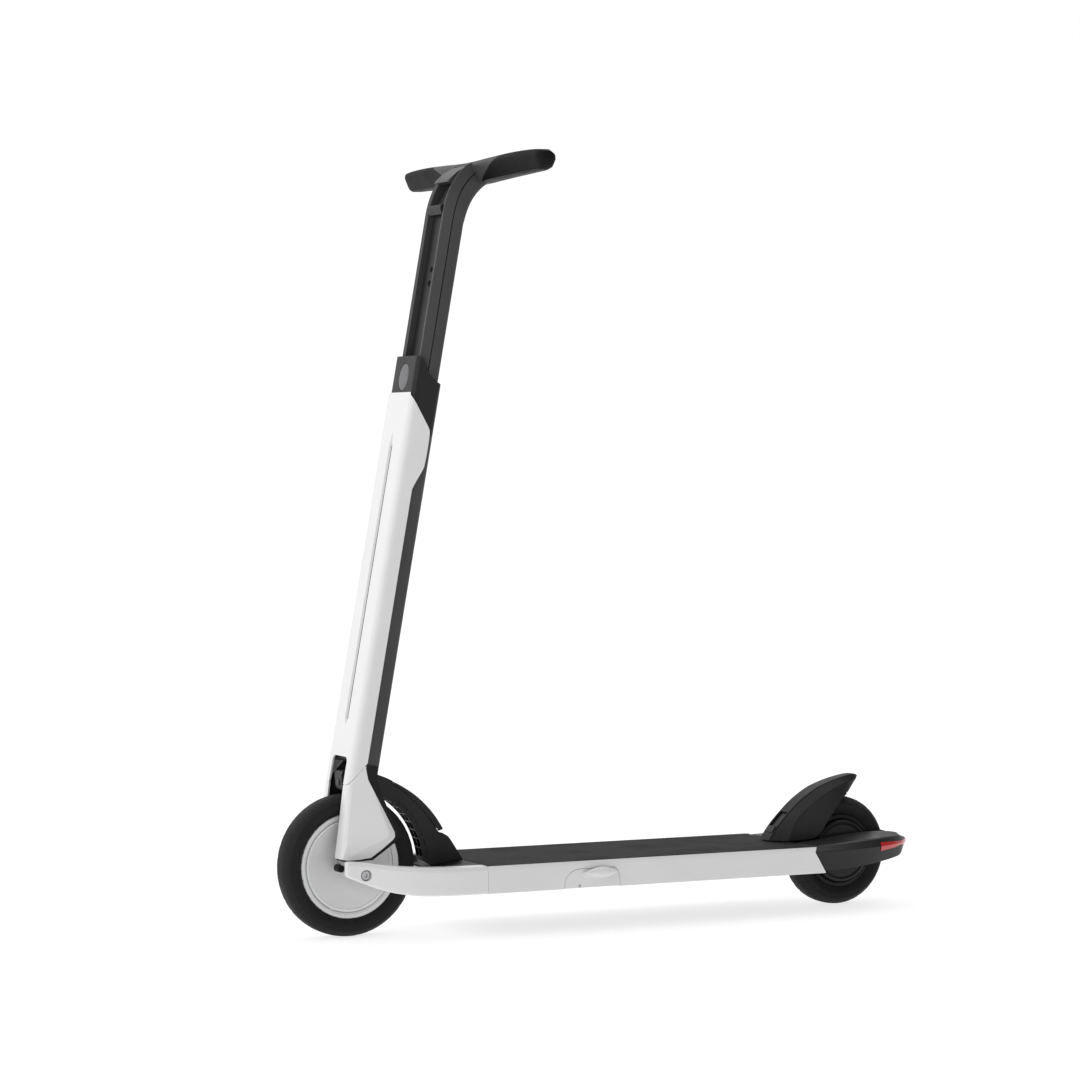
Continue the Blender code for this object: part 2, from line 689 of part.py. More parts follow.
def column_section(front, rear, half, front_round, rear_round):
    return rounded(rear, front, -half, half, (rear_round, front_round, front_round, rear_round), 4)


def stem_tube(column):
    inner_front = COLUMN_FRONT - COVER_WALL - 0.4
    section = column_section(inner_front, COLUMN_REAR, COLUMN_HALF - COVER_WALL - 0.4, 6.0, 7.0)
    tube = prism("stem_tube", section, 90.0, COLLAR_BOTTOM - GAP, "dark", column, along="z")
    below = ((-20.0, 80.0), (50.0, 80.0), (50.0, 135.6), (11.0, 135.6), (-20.0, 100.8))
    cut(tube, prism("lower_end", below, -60.0, 60.0, "dark", column))
    room = column_section(SLIDE_FRONT + 0.4, SLIDE_REAR - 0.4, SLIDE_HALF + 0.4, 1.5, 1.5)
    cut(tube, prism("slide_room", room, 395.0, 700.0, "dark", column, along="z"))
    slot = ((40.0, 90.0), (40.0, 142.0), (COLUMN_FRONT, 142.0), (-12.0, 174.0), (-20.0, 174.0), (-20.0, 90.0))
    cut(tube, prism("arc_slot", slot, -FORK_GAP, FORK_GAP, "dark", column))
    # cable and battery lead space between the arc slot and the sliding tube
    cut(tube, pin("lead_bore", (8.0, 0.0), 100.0, 420.0, 12.0, "dark", column, along="z", segments=20))
    return tube


def stem_cover(column):
    """White shell over the front and sides, with a raised wing at the top and a grooved slit in front."""
    outer = column_section(COLUMN_FRONT, -4.0, COLUMN_HALF, 8.5, 0.0)
    shell = prism("stem_cover", outer, 80.0, 633.0, "white", column, along="z")
    inner = column_section(COLUMN_FRONT - COVER_WALL, -30.0, COLUMN_HALF - COVER_WALL, 6.2, 0.0)
    cut(shell, prism("cover_room", inner, 60.0, 700.0, "white", column, along="z"))
    seam = ((50.0, 81.6), (33.0, 105.8), (10.0, 138.5), (-10.0, 167.0), (-10.0, 60.0), (50.0, 60.0))
    cut(shell, prism("seam_cut", seam, -60.0, 60.0, "white", column))
    side = (
        (10.5, 80.0), (10.5, 506.0), (-1.5, 537.0), (-2.6, 560.0), (-2.0, 582.0), (1.0, 590.0), (31.0, 627.0),
        (36.0, 700.0), (-60.0, 700.0), (-60.0, 80.0),
    )
    cut(shell, prism("wing_cut", side, -60.0, 60.0, "white", column))
    window = ((40.0, 60.0), (40.0, 142.0), (20.0, 142.0), (20.0, 60.0))
    cut(shell, prism("window", window, -FORK_GAP, FORK_GAP, "white", column))
    groove = (
        (COLUMN_FRONT + 4.0, 6.0), (COLUMN_FRONT, 5.0), (COLUMN_FRONT - 5.0, 2.0), (COLUMN_FRONT - 5.0, -2.0),
        (COLUMN_FRONT, -5.0), (COLUMN_FRONT + 4.0, -6.0),
    )
    cut(shell, prism("slit", groove, 193.0, 571.0, "white", column, along="z"))
    tube = bpy.data.objects["stem_tube"]
    channel = ((31.0, -2.6), (31.0, 2.6), (27.4, 2.6), (27.4, -2.6))
    cut(tube, prism("strip_channel", channel, 192.0, 572.0, "dark", column, along="z"))
    strip = ((30.2, -1.9), (30.2, 1.9), (27.8, 1.9), (27.8, -1.9))
    prism("light_strip", strip, 194.0, 570.0, "black", column, along="z")


def head_block(column):
    """Lintel across the top of the window, clear of the fold arc and its pedal."""
    outline = ((28.0, 138.6), (28.0, 141.6), (19.0, 148.0), (19.0, 140.2))
    prism("head_block", outline, -FORK_GAP + 0.5, FORK_GAP - 0.5, "black", column)


def collar(column):
    half = COLUMN_HALF - COVER_WALL - 0.4
    front = COLUMN_FRONT - COVER_WALL - 0.4
    section = column_section(front, COLUMN_REAR - 0.3, half, 7.0, 7.5)

    ring = prism("collar", section, COLLAR_BOTTOM, COLLAR_TOP, "dark", column, along="z")
    above = ((-20.0, 647.0), (-10.3, 651.0), (4.0, 657.0), (26.0, COLLAR_TOP), (26.0, 700.0), (-20.0, 700.0))
    cut(ring, prism("top_slope", above, -60.0, 60.0, "dark", column))
    room = column_section(SLIDE_FRONT + 0.4, SLIDE_REAR - 0.4, SLIDE_HALF + 0.4, 1.5, 1.5)
    cut(ring, prism("slide_room", room, 500.0, 720.0, "dark", column, along="z"))
    hole = []
    for k in range(24):
        angle = 2 * pi * k / 24
        hole.append((15.4 * cos(angle), 654.5 + 18.9 * sin(angle)))
    cut(ring, prism("button_hole", hole, 20.0, 40.0, "dark", column, along="x"))


def height_button(column):
    axis = pivot("height_button_axis", 0, 0, parent=column)
    rings = []
    for u, scale in ((26.2, 1.0), (30.4, 1.0), (31.4, 0.88)):
        ring = []
        for k in range(24):
            angle = 2 * pi * k / 24
            ring.append((u, 15.0 * scale * cos(angle), 654.5 + 18.5 * scale * sin(angle)))
        rings.append(ring)
    loft("height_button", rings, "silver", axis)
    return axis


# ---------------------------------------------------------------- upper stem and handlebar


def upper_stem(slide):
    """Channel with its open side forward; the flanges slope towards the channel."""
    section = (
        (SLIDE_REAR, -30.0), (SLIDE_REAR + 5, -SLIDE_HALF + 0.5), (12.0, -SLIDE_HALF), (SLIDE_FRONT - 3, -SLIDE_HALF + 1),
        (SLIDE_FRONT, -SLIDE_HALF + 3), (22.5, -23.0), (14.5, -21.5), (14.5, 21.5), (22.5, 23.0),
        (SLIDE_FRONT, SLIDE_HALF - 3), (SLIDE_FRONT - 3, SLIDE_HALF - 1), (12.0, SLIDE_HALF),
        (SLIDE_REAR + 5, SLIDE_HALF - 0.5), (SLIDE_REAR, 30.0),
    )
    body = prism("upper_stem", section, 560.0, 868.0, "dark", slide, along="z")
    for w in (785.0, 804.0):
        hole = pin("lock_hole", (0, 0), 0, 9, 4.5, "dark", slide, along="z", segments=12)
        hole.data.transform(Matrix.Translation(Vector((8.0, 0.0, w)) * MM) @ Matrix.Rotation(pi / 2, 4, "Y"))
        cut(body, hole)
    return body


def bar_section(y, front, rear, low, high):
    """Wing-shaped bar section in the steering frame, from world distances."""
    deep, tall = rear - front, high - low
    points = (
        (front + 0.08 * deep, high - 0.02 * tall), (front, high - 0.25 * tall), (front + 0.16 * deep, low + 0.25 * tall),
        (front + 0.36 * deep, low), (rear - 0.2 * deep, low + 0.04 * tall), (rear, low + 0.4 * tall),
        (rear - 0.1 * deep, high - 0.22 * tall), (rear - 0.35 * deep, high),
    )
    ring = []
    for back, up in points:
        u, w = column_point(back, up)
        ring.append((u, y, w))
    return ring


BAR_STATIONS = (
    # y, front edge and rear edge behind the hub, bottom, top
    (0.0, 171.0, 214.0, 1004.0, 1034.0),
    (30.0, 172.0, 214.0, 1006.0, 1035.0),
    (58.0, 174.0, 213.0, 1008.5, 1036.5),
    (120.0, 177.0, 211.0, 1011.0, 1038.0),
    (178.0, 180.0, 207.0, 1010.0, 1035.0),
    (212.0, 183.0, 203.0, 1009.0, 1030.0),
    (BAR_HALF, 188.0, 199.0, 1014.0, 1025.0),
)


def bar_rings(side, start, stop):
    rings = []
    for y, front, rear, low, high in BAR_STATIONS[start:stop]:
        rings.append(bar_section(side * y, front, rear, low, high))
    return rings


def handlebar_head(slide):
    """Neck that sweeps back from the upper stem into the middle of the bar."""
    outline = (
        (SLIDE_REAR, 868.3), (24.5, 868.3), (24.3, 890.0), (21.0, 910.0), (13.0, 930.0), (3.0, 945.0), (-5.0, 953.0),
        (-30.0, 955.0), (-42.0, 935.0), (-27.0, 922.0), (-16.0, 905.0), (-10.0, 888.0),
    )
    neck = prism("handlebar_head", outline, -34.0, 34.0, "dark", slide)
    rings = bar_rings(-1, 0, 3)[::-1] + bar_rings(1, 1, 3)
    fuse(neck, loft("bar_middle", rings, "dark", slide))
    pocket = ((30.0, 873.8), (30.0, 922.0), (0.0, 922.0), (10.0, 905.0), (12.9, 890.0), (12.9, 873.8))
    cut(neck, prism("hook_pocket", pocket, -21.5, 21.5, "dark", slide))
    bore = pin("button_bore", (0, 0), 0, 12, 8.4, "dark", slide, along="z")
    bore.data.transform(Matrix.Translation(Vector((-24.0, 0.0, 948.5)) * MM) @ Matrix.Rotation(LEAN, 4, "Y"))
    cut(neck, bore)
    return neck


LEVER_PIVOT = column_point(217.0, 1021.0)
LEVER_Y = 92.0
LEVER_HALF = 13.0


def grip(side, name, slide):
    """Grip with two lugs behind it that hold a thumb lever."""
    rings = bar_rings(side, 2, 7)
    rings[0] = [(u, y + side * GAP, w) for u, y, w in rings[0]]
    body = loft(name, rings, "rubber", slide)
    u, w = LEVER_PIVOT
    lug = ((u - 3.6, w - 1.5), (u - 1.5, w - 3.6), (u + 11.3, w - 5.4), (u + 13.2, w + 5.7), (u - 1.5, w + 3.6),
           (u - 3.6, w + 1.5))
    for place in (LEVER_HALF + GAP, -LEVER_HALF - GAP - 3.0):
        low = side * LEVER_Y + place
        fuse(body, prism("lug", lug, low, low + 3.0, "rubber", slide))


def bar_controls(slide):
    hook = pivot("hook_axis", 17.5, 880.0, parent=slide)
    prism("bag_hook", ((-3.0, -3.0), (5.0, -3.0), (8.5, 4.0), (8.5, 9.0), (4.0, 11.5), (1.0, 7.0), (-3.0, 4.0)),
          -20.8, 20.8, "dark", hook)
    u, w = LEVER_PIVOT
    for side, name in ((-1, "throttle"), (1, "brake_lever")):
        axis = pivot(name + "_axis", u, w, y=side * LEVER_Y, parent=slide)
        outline = ((-3.0, -1.5), (-1.5, -3.0), (1.5, -3.0), (2.6, -1.5), (2.6, 1.5), (0.0, 3.4), (-9.0, 9.5),
                   (-11.0, 9.6), (-11.4, 7.8))
        prism(name, outline, -LEVER_HALF, LEVER_HALF, "black", axis)
    button = pivot("power_button_axis", -24.0, 948.5, lean=-LEAN, parent=slide)
    pin("power_button", (0, 0), 4.0, 9.6, 8.0, "black", button, along="z")


def build():
    clear_scene()
    deck()
    left = rail(1, "rail_left")
    right = rail(-1, "rail_right")
    kickstand(left)
    charging(right)
    bored_tray()
    for side, word in ((1, "left"), (-1, "right")):
        arm(side, "arm_" + word)
        pivot_bolt(side, "pivot_bolt_" + word)
        tail_shell(side, "tail_shell_" + word)
    nose()
    pocket_z = fold_arc()
    fold_pedal()
    latch_bolt(pocket_z)
    tail_lens()
    rear_fork()
    rear_wheel()
    fender()
    fold_axis = pivot("fold_axis", FRONT_X, FOLD_Z)
    cross_axle(fold_axis)
    column = pivot("steer_axis", 0, FRONT_RADIUS - FOLD_Z, lean=LEAN, parent=fold_axis)
    knuckle(column)
    for side, word in ((1, "left"), (-1, "right")):
        fork_leg(side, "fork_leg_" + word, column)
        fork_cover(side, "fork_cover_" + word, column)
    front_wheel(column)
    stem_tube(column)
    stem_cover(column)
    head_block(column)
    collar(column)
    height_button(column)
    slide = pivot("slide_axis", 0, 0, parent=column)
    upper_stem(slide)
    handlebar_head(slide)
    for side, word in ((1, "left"), (-1, "right")):
        grip(side, "grip_" + word, slide)
    bar_controls(slide)


build()
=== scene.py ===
"""Finished look of the electric kick scooter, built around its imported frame.

Shapes are worked out in millimetres and become metres when a piece is finished. Pieces on the deck are placed
by their distance behind the front hub. Column pieces use the steering frame, which starts in the front hub:
u forward, v to the left, w up the stem.
"""
import json
from math import atan2, cos, degrees, pi, radians, sin

import bmesh
import bpy
from mathutils import Matrix, Vector


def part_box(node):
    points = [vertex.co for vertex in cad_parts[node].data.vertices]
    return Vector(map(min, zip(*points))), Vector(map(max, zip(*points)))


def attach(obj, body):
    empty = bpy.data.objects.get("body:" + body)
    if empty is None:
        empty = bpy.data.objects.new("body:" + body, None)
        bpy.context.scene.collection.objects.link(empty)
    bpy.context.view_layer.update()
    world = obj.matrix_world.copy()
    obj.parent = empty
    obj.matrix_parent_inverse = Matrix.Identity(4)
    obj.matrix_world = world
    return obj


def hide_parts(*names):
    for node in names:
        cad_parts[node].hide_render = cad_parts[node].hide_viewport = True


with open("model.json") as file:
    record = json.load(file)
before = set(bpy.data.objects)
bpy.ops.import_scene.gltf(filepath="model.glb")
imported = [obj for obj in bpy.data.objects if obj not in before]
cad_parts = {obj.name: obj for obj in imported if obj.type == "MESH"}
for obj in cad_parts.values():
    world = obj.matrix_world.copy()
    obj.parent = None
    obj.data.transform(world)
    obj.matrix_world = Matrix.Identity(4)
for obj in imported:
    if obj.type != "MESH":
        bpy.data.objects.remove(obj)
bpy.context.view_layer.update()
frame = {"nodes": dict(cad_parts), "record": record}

MM = 0.001
SIDES = ((1, "left"), (-1, "right"))


def middle(node):
    low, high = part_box(node)
    return (Vector(low) + Vector(high)) / 2 / MM


def low_of(node):
    return Vector(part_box(node)[0]) / MM


def high_of(node):
    return Vector(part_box(node)[1]) / MM


JOINTS = {joint["name"]: joint for joint in frame["record"]["behaviour"]["joints"]}
FRONT = middle("front_tyre")
REAR = middle("rear_tyre")
STEER_AXIS = Vector(JOINTS["steer"]["axis"])
LEAN = atan2(-STEER_AXIS.x, STEER_AXIS.z)
COLUMN = Matrix.Translation(FRONT) @ Matrix.Rotation(-LEAN, 4, "Y")
FOLD_Z = JOINTS["fold"]["pos_m"][2] / MM
FRONT_RADIUS = FRONT.z
REAR_RADIUS = REAR.z
DECK_TOP = high_of("deck_mat").z


def back(distance):
    """The x of a point that far behind the front hub."""
    return FRONT.x - distance


# ---------------------------------------------------------------- materials


class Graph:
    """Short names for building a material's nodes."""

    def __init__(self, name):
        self.material = bpy.data.materials.new(name)
        self.material.use_nodes = True
        self.tree = self.material.node_tree
        self.shader = self.tree.nodes["Principled BSDF"]
        self.place = self.node("ShaderNodeTexCoord").outputs["Object"]

    def node(self, kind, **settings):
        made = self.tree.nodes.new(kind)
        for key, value in settings.items():
            setattr(made, key, value)
        return made

    def link(self, source, target):
        self.tree.links.new(source, target)

    def noise(self, scale, detail=3.0, place=None, stretch=None):
        made = self.node("ShaderNodeTexNoise")
        made.inputs["Scale"].default_value = scale
        made.inputs["Detail"].default_value = detail
        source = place or self.place
        if stretch:
            mapping = self.node("ShaderNodeMapping")
            mapping.inputs["Scale"].default_value = stretch
            self.link(source, mapping.inputs["Vector"])
            source = mapping.outputs["Vector"]
        self.link(source, made.inputs["Vector"])
        return made.outputs["Fac"]

    def spread(self, value, low, high, start=0.3, stop=0.7):
        made = self.node("ShaderNodeMapRange")
        for name, number in (("From Min", start), ("From Max", stop), ("To Min", low), ("To Max", high)):
            made.inputs[name].default_value = number
        self.link(value, made.inputs["Value"])
        return made.outputs["Result"]

    def blend(self, factor, first, second):
        made = self.node("ShaderNodeMix", data_type="RGBA")
        for socket, value in ((made.inputs[0], factor), (made.inputs[6], first), (made.inputs[7], second)):
            if hasattr(value, "is_output"):
                self.link(value, socket)
            elif isinstance(value, float):
                socket.default_value = value
            else:
                socket.default_value = (*value, 1.0)
        return made.outputs[2]

    def maths(self, operation, first, second=0.0):
        made = self.node("ShaderNodeMath", operation=operation)
        for socket, value in zip(made.inputs, (first, second)):
            if hasattr(value, "is_output"):
                self.link(value, socket)
            else:
                socket.default_value = value
        return made.outputs[0]

    def edges(self, radius, low=0.002, high=0.06):
        """1 on convex edges and 0 on flat faces."""
        bevel = self.node("ShaderNodeBevel", samples=4)
        bevel.inputs["Radius"].default_value = radius
        geometry = self.node("ShaderNodeNewGeometry")
        dot = self.node("ShaderNodeVectorMath", operation="DOT_PRODUCT")
        self.link(bevel.outputs["Normal"], dot.inputs[0])
        self.link(geometry.outputs["Normal"], dot.inputs[1])
        turned_away = self.maths("SUBTRACT", 1.0, dot.outputs["Value"])
        return self.spread(turned_away, 0.0, 1.0, low, high)

    def bump(self, height, strength, distance, normal=None):
        made = self.node("ShaderNodeBump")
        made.inputs["Strength"].default_value = strength
        made.inputs["Distance"].default_value = distance
        self.link(height, made.inputs["Height"])
        if normal:
            self.link(normal, made.inputs["Normal"])
        return made.outputs["Normal"]


def tint(colour, amount):
    return tuple(min(1.0, channel * amount) for channel in colour)


def surface(name, colour, rough, metal=0.0, vary=0.06, grain=1400.0, depth=0.00003, edge_highlight=0.0, shine=0.5,
            stretch=None):
    """A moulded or painted surface: cloudy tone, fine grain, uneven gloss and a painted highlight along
    convex edges.
    """
    graph = Graph(name)
    cloud = graph.noise(9.0, 4.0)
    tone = graph.blend(graph.spread(cloud, 0.0, 1.0), tint(colour, 1 - vary), tint(colour, 1 + vary))
    fine = graph.noise(grain, 2.0, stretch=stretch)
    if edge_highlight:
        # painted highlight: convex edges are lightened towards 1.9 times the colour, broken up by noise
        edge_highlight_mask = graph.maths("MULTIPLY", graph.edges(0.0009), graph.spread(graph.noise(60.0), 0.2, 1.0))
        tone = graph.blend(graph.maths("MULTIPLY", edge_highlight_mask, edge_highlight), tone, tint(colour, 1.9))
    graph.link(tone, graph.shader.inputs["Base Color"])
    smudge = graph.noise(26.0, 5.0)
    graph.link(graph.spread(smudge, rough - 0.05, rough + 0.06), graph.shader.inputs["Roughness"])
    graph.shader.inputs["Metallic"].default_value = metal
    graph.shader.inputs["Specular IOR Level"].default_value = shine
    graph.link(graph.bump(fine, 0.35, depth), graph.shader.inputs["Normal"])
    return graph.material


def mat_surface(name, colour):
    """Deck mat: small raised grit in staggered rows with painted shade in the hollows between, and a little
    dust in patches.
    """
    graph = Graph(name)
    cells = graph.node("ShaderNodeTexVoronoi", feature="F1")
    cells.inputs["Scale"].default_value = 420.0
    cells.inputs["Randomness"].default_value = 0.55
    graph.link(graph.place, cells.inputs["Vector"])
    studs = graph.spread(cells.outputs["Distance"], 1.0, 0.0, 0.15, 0.5)
    dust = graph.spread(graph.noise(14.0, 5.0), 0.0, 0.5, 0.45, 0.75)
    tone = graph.blend(graph.maths("MULTIPLY", dust, 0.5), tint(colour, 0.9), tint(colour, 1.5))
    # painted shade: the hollows between the grit are darkened to three quarters of the colour
    tone = graph.blend(studs, tint(colour, 0.75), tone)
    graph.link(tone, graph.shader.inputs["Base Color"])
    graph.link(graph.spread(dust, 0.78, 0.92, 0.0, 0.5), graph.shader.inputs["Roughness"])
    graph.shader.inputs["Specular IOR Level"].default_value = 0.22
    graph.link(graph.bump(studs, 0.5, 0.0004), graph.shader.inputs["Normal"])
    return graph.material


def tyre_surface(name, colour):
    """Rubber with a dry bloom, fine mould grain and faint scuffs."""
    graph = Graph(name)
    bloom = graph.spread(graph.noise(20.0, 6.0), 0.0, 1.0, 0.35, 0.75)
    scuffs = graph.spread(graph.noise(180.0, 2.0), 0.0, 0.35, 0.58, 0.8)
    tone = graph.blend(bloom, tint(colour, 0.85), tint(colour, 1.25))
    tone = graph.blend(scuffs, tone, tint(colour, 2.2))
    graph.link(tone, graph.shader.inputs["Base Color"])
    graph.link(graph.spread(bloom, 0.62, 0.8, 0.0, 1.0), graph.shader.inputs["Roughness"])
    graph.shader.inputs["Specular IOR Level"].default_value = 0.25
    graph.link(graph.bump(graph.noise(1100.0, 2.0), 0.4, 0.00006), graph.shader.inputs["Normal"])
    return graph.material


def lens_surface(name, colour):
    """Glossy red plastic over fine optic ribs."""
    graph = Graph(name)
    wave = graph.node("ShaderNodeTexWave", wave_type="BANDS", bands_direction="X")
    wave.inputs["Scale"].default_value = 260.0
    graph.link(graph.place, wave.inputs["Vector"])
    tone = graph.blend(wave.outputs["Fac"], tint(colour, 0.7), tint(colour, 1.25))
    graph.link(tone, graph.shader.inputs["Base Color"])
    graph.link(graph.spread(graph.noise(40.0), 0.12, 0.2), graph.shader.inputs["Roughness"])
    graph.shader.inputs["Coat Weight"].default_value = 0.25
    graph.shader.inputs["Emission Color"].default_value = (*colour, 1.0)
    graph.shader.inputs["Emission Strength"].default_value = 0.12
    graph.link(graph.bump(wave.outputs["Fac"], 0.25, 0.0002), graph.shader.inputs["Normal"])
    return graph.material


WHITE = (0.73, 0.73, 0.735)
DARK = (0.048, 0.048, 0.049)
# each look's edge setting gives the strength of the painted highlight on its convex edges
LOOKS = {
    "white_paint": surface("white_paint", WHITE, 0.36, vary=0.02, depth=0.00002, edge_highlight=0.12),
    "white_shell": surface("white_shell", WHITE, 0.4, vary=0.02, grain=1800.0, edge_highlight=0.35),
    "dark_paint": surface("dark_paint", DARK, 0.44, vary=0.08, edge_highlight=0.3, shine=0.3),
    "dark_shell": surface("dark_shell", tint(DARK, 0.3), 0.4, vary=0.1, grain=1500.0, depth=0.00005,
                          edge_highlight=0.3, shine=0.22),
    "black_plastic": surface("black_plastic", (0.007, 0.007, 0.0075), 0.5, vary=0.15, depth=0.00005, edge_highlight=0.3,
                             shine=0.2),
    "rubber": surface("rubber", (0.006, 0.006, 0.0063), 0.5, vary=0.12, grain=900.0, depth=0.00012, edge_highlight=0.15,
                      shine=0.09),
    "tyre": tyre_surface("tyre", (0.0085, 0.0085, 0.009)),
    "mat": mat_surface("mat", (0.0065, 0.0065, 0.007)),
    "silver": surface("silver", (0.73, 0.73, 0.735), 0.38, metal=0.12, vary=0.03, grain=700.0, edge_highlight=0.1),
    "dark_steel": surface("dark_steel", (0.05, 0.05, 0.052), 0.4, metal=0.6, vary=0.12, edge_highlight=0.2),
    "steel": surface("steel", (0.36, 0.36, 0.37), 0.3, metal=1.0, vary=0.12, grain=500.0,
                     stretch=(1.0, 6.0, 1.0), edge_highlight=0.2),
    "red_lens": lens_surface("red_lens", (0.42, 0.01, 0.014)),
    "battery_wrap": surface("battery_wrap", (0.05, 0.12, 0.3), 0.4, vary=0.08, depth=0.00008),
    "button_grey": surface("button_grey", (0.13, 0.13, 0.135), 0.5, vary=0.06, edge_highlight=0.2),
}

# ---------------------------------------------------------------- mesh tools


def loft(rings):
    """Mesh through rings of equal length, capped at both ends."""
    mesh = bmesh.new()
    rows = [[mesh.verts.new(point) for point in ring] for ring in rings]
    count = len(rings[0])
    for near, far in zip(rows, rows[1:]):
        for i in range(count):
            j = (i + 1) % count
            mesh.faces.new((near[i], near[j], far[j], far[i]))
    mesh.faces.new(rows[0])
    mesh.faces.new(rows[-1][::-1])
    return mesh


def prism(outline, low, high, along="y"):
    """Straight solid of a flat outline between two places along an axis."""
    place = {
        "y": lambda p, t: (p[0], t, p[1]),
        "z": lambda p, t: (p[0], p[1], t),
        "x": lambda p, t: (t, p[0], p[1]),
    }[along]
    return loft([[place(point, t) for point in outline] for t in (low, high)])


def block(x, y, z):
    return prism(((x[0], z[0]), (x[1], z[0]), (x[1], z[1]), (x[0], z[1])), y[0], y[1])


def turned(profile, segments=96, shape=None):
    """Revolve a closed (radius, y) profile about the y axis; shape may move a point."""
    mesh = bmesh.new()
    rows = []
    for k in range(segments):
        angle = 2 * pi * k / segments
        row = []
        for r, y in profile:
            radius = shape(r, y, angle) if shape else r
            row.append(mesh.verts.new((radius * cos(angle), y, radius * sin(angle))))
        rows.append(row)
    for k in range(segments):
        near, far = rows[k], rows[(k + 1) % segments]
        for i in range(len(profile)):
            j = (i + 1) % len(profile)
            mesh.faces.new((near[i], near[j], far[j], far[i]))
    return mesh


def disc(centre, radius, low, high, along="y", segments=48):
    outline = []
    for k in range(segments):
        angle = 2 * pi * (k + 0.5) / segments
        outline.append((centre[0] + radius * cos(angle), centre[1] + radius * sin(angle)))
    return prism(outline, low, high, along)


def rounded(x0, x1, y0, y1, corners, steps=6):
    """Rectangle outline, counter-clockwise; corners gives the radii from (x0, y0) onward."""
    turns = ((x0, y0, 1, 1, pi), (x1, y0, -1, 1, 1.5 * pi), (x1, y1, -1, -1, 0.0), (x0, y1, 1, -1, 0.5 * pi))
    points = []
    for (x, y, inward_x, inward_y, start), radius in zip(turns, corners):
        if radius == 0:
            points.append((x, y))
            continue
        for k in range(steps + 1):
            angle = start + 0.5 * pi * k / steps
            points.append((x + radius * (inward_x + cos(angle)), y + radius * (inward_y + sin(angle))))
    return points


def through(points, steps):
    """Smooth curve through points of any length, with steps spans between neighbours."""
    result = []
    last = len(points) - 1
    for i in range(last):
        near = [points[max(0, i - 1)], points[i], points[i + 1], points[min(last, i + 2)]]
        for k in range(steps):
            t = k / steps
            mixed = []
            for a, b, c, d in zip(*near):
                square, cube = 2 * a - 5 * b + 4 * c - d, 3 * b - a - 3 * c + d
                mixed.append((2 * b + (c - a) * t + square * t * t + cube * t ** 3) / 2)
            result.append(tuple(mixed))
    result.append(tuple(points[-1]))
    return result


def solid(mesh, place=None):
    """A working object from a bmesh, in millimetres."""
    bmesh.ops.recalc_face_normals(mesh, faces=mesh.faces)
    data = bpy.data.meshes.new("work")
    mesh.to_mesh(data)
    mesh.free()
    if place:
        data.transform(place)
    item = bpy.data.objects.new("work", data)
    bpy.context.scene.collection.objects.link(item)
    return item


def settle(item):
    """Replace an object's mesh by what its modifiers make of it."""
    bpy.context.view_layer.update()
    graph = bpy.context.evaluated_depsgraph_get()
    result = bpy.data.meshes.new_from_object(item.evaluated_get(graph))
    item.modifiers.clear()
    item.data = result
    return item


def combine(target, tools, operation):
    for tool in tools:
        if not isinstance(tool, bpy.types.Object):
            tool = solid(tool)
        modifier = target.modifiers.new("shape", "BOOLEAN")
        modifier.operation = operation
        modifier.object = tool
        modifier.solver = "EXACT"
        settle(target)
        bpy.data.objects.remove(tool)
    return target


def cut(target, *tools):
    return combine(target, tools, "DIFFERENCE")


def fuse(target, *tools):
    return combine(target, tools, "UNION")


def finish(name, item, look, body, nodes=(), place=None, bevel=0.5, sharp=32.0):
    """Turn a working object into a finished piece in metres that rides on a body.

    bevel is the width of its rounded edges in millimetres; edges steeper than sharp degrees shade as edges.
    """
    if not isinstance(item, bpy.types.Object):
        item = solid(item)
    if place:
        item.data.transform(place)
    if bevel:
        rounding = item.modifiers.new("rounding", "BEVEL")
        rounding.width = bevel
        rounding.segments = 3
        rounding.limit_method = "ANGLE"
        rounding.angle_limit = radians(28)
        rounding.use_clamp_overlap = True
        rounding.miter_outer = "MITER_ARC"
        settle(item)
    item.data.transform(Matrix.Scale(MM, 4))
    item.data.shade_smooth()
    item.data.set_sharp_from_angle(angle=radians(sharp))
    weighted = item.modifiers.new("weighted", "WEIGHTED_NORMAL")
    weighted.keep_sharp = True
    settle(item)
    item.data.materials.clear()
    item.data.materials.append(LOOKS[look])
    item.name = name
    item.data.name = name
    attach(item, body)
    if nodes:
        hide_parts(*([nodes] if isinstance(nodes, str) else nodes))
    return item


BODY_OF = {}
for body_name, members in frame["record"]["behaviour"]["bodies"].items():
    for member in members:
        BODY_OF[member] = body_name
SLOT_OF = {row["node"]: row["material_slot"] for row in frame["record"]["subparts"]}


def stand_in(node, item, look, place=None, **options):
    """A finished piece that stands for one CAD node and rides on its body."""
    return finish(node + "_shape", item, look, BODY_OF[node], node, place, **options)


def rounded_node(node, bevel, look=None):
    """A CAD node's own shape with rounded edges."""
    mesh = bmesh.new()
    mesh.from_mesh(frame["nodes"][node].data)
    bmesh.ops.scale(mesh, vec=(1 / MM,) * 3, verts=mesh.verts)
    bmesh.ops.remove_doubles(mesh, verts=mesh.verts, dist=0.002)
    bmesh.ops.dissolve_limit(mesh, angle_limit=radians(1.0), verts=mesh.verts, edges=mesh.edges)
    return stand_in(node, mesh, look or SLOT_OF[node], bevel=bevel)


# ---------------------------------------------------------------- wheels


def tread(r, y, angle):
    """Shallow slanted sipes across the crown of a tyre."""
    phase = (degrees(angle) + abs(y) * 0.9) % 10.0
    on_crown = 5.0 <= abs(y) <= 19.0
    return r - 0.9 if on_crown and phase < 1.1 else r


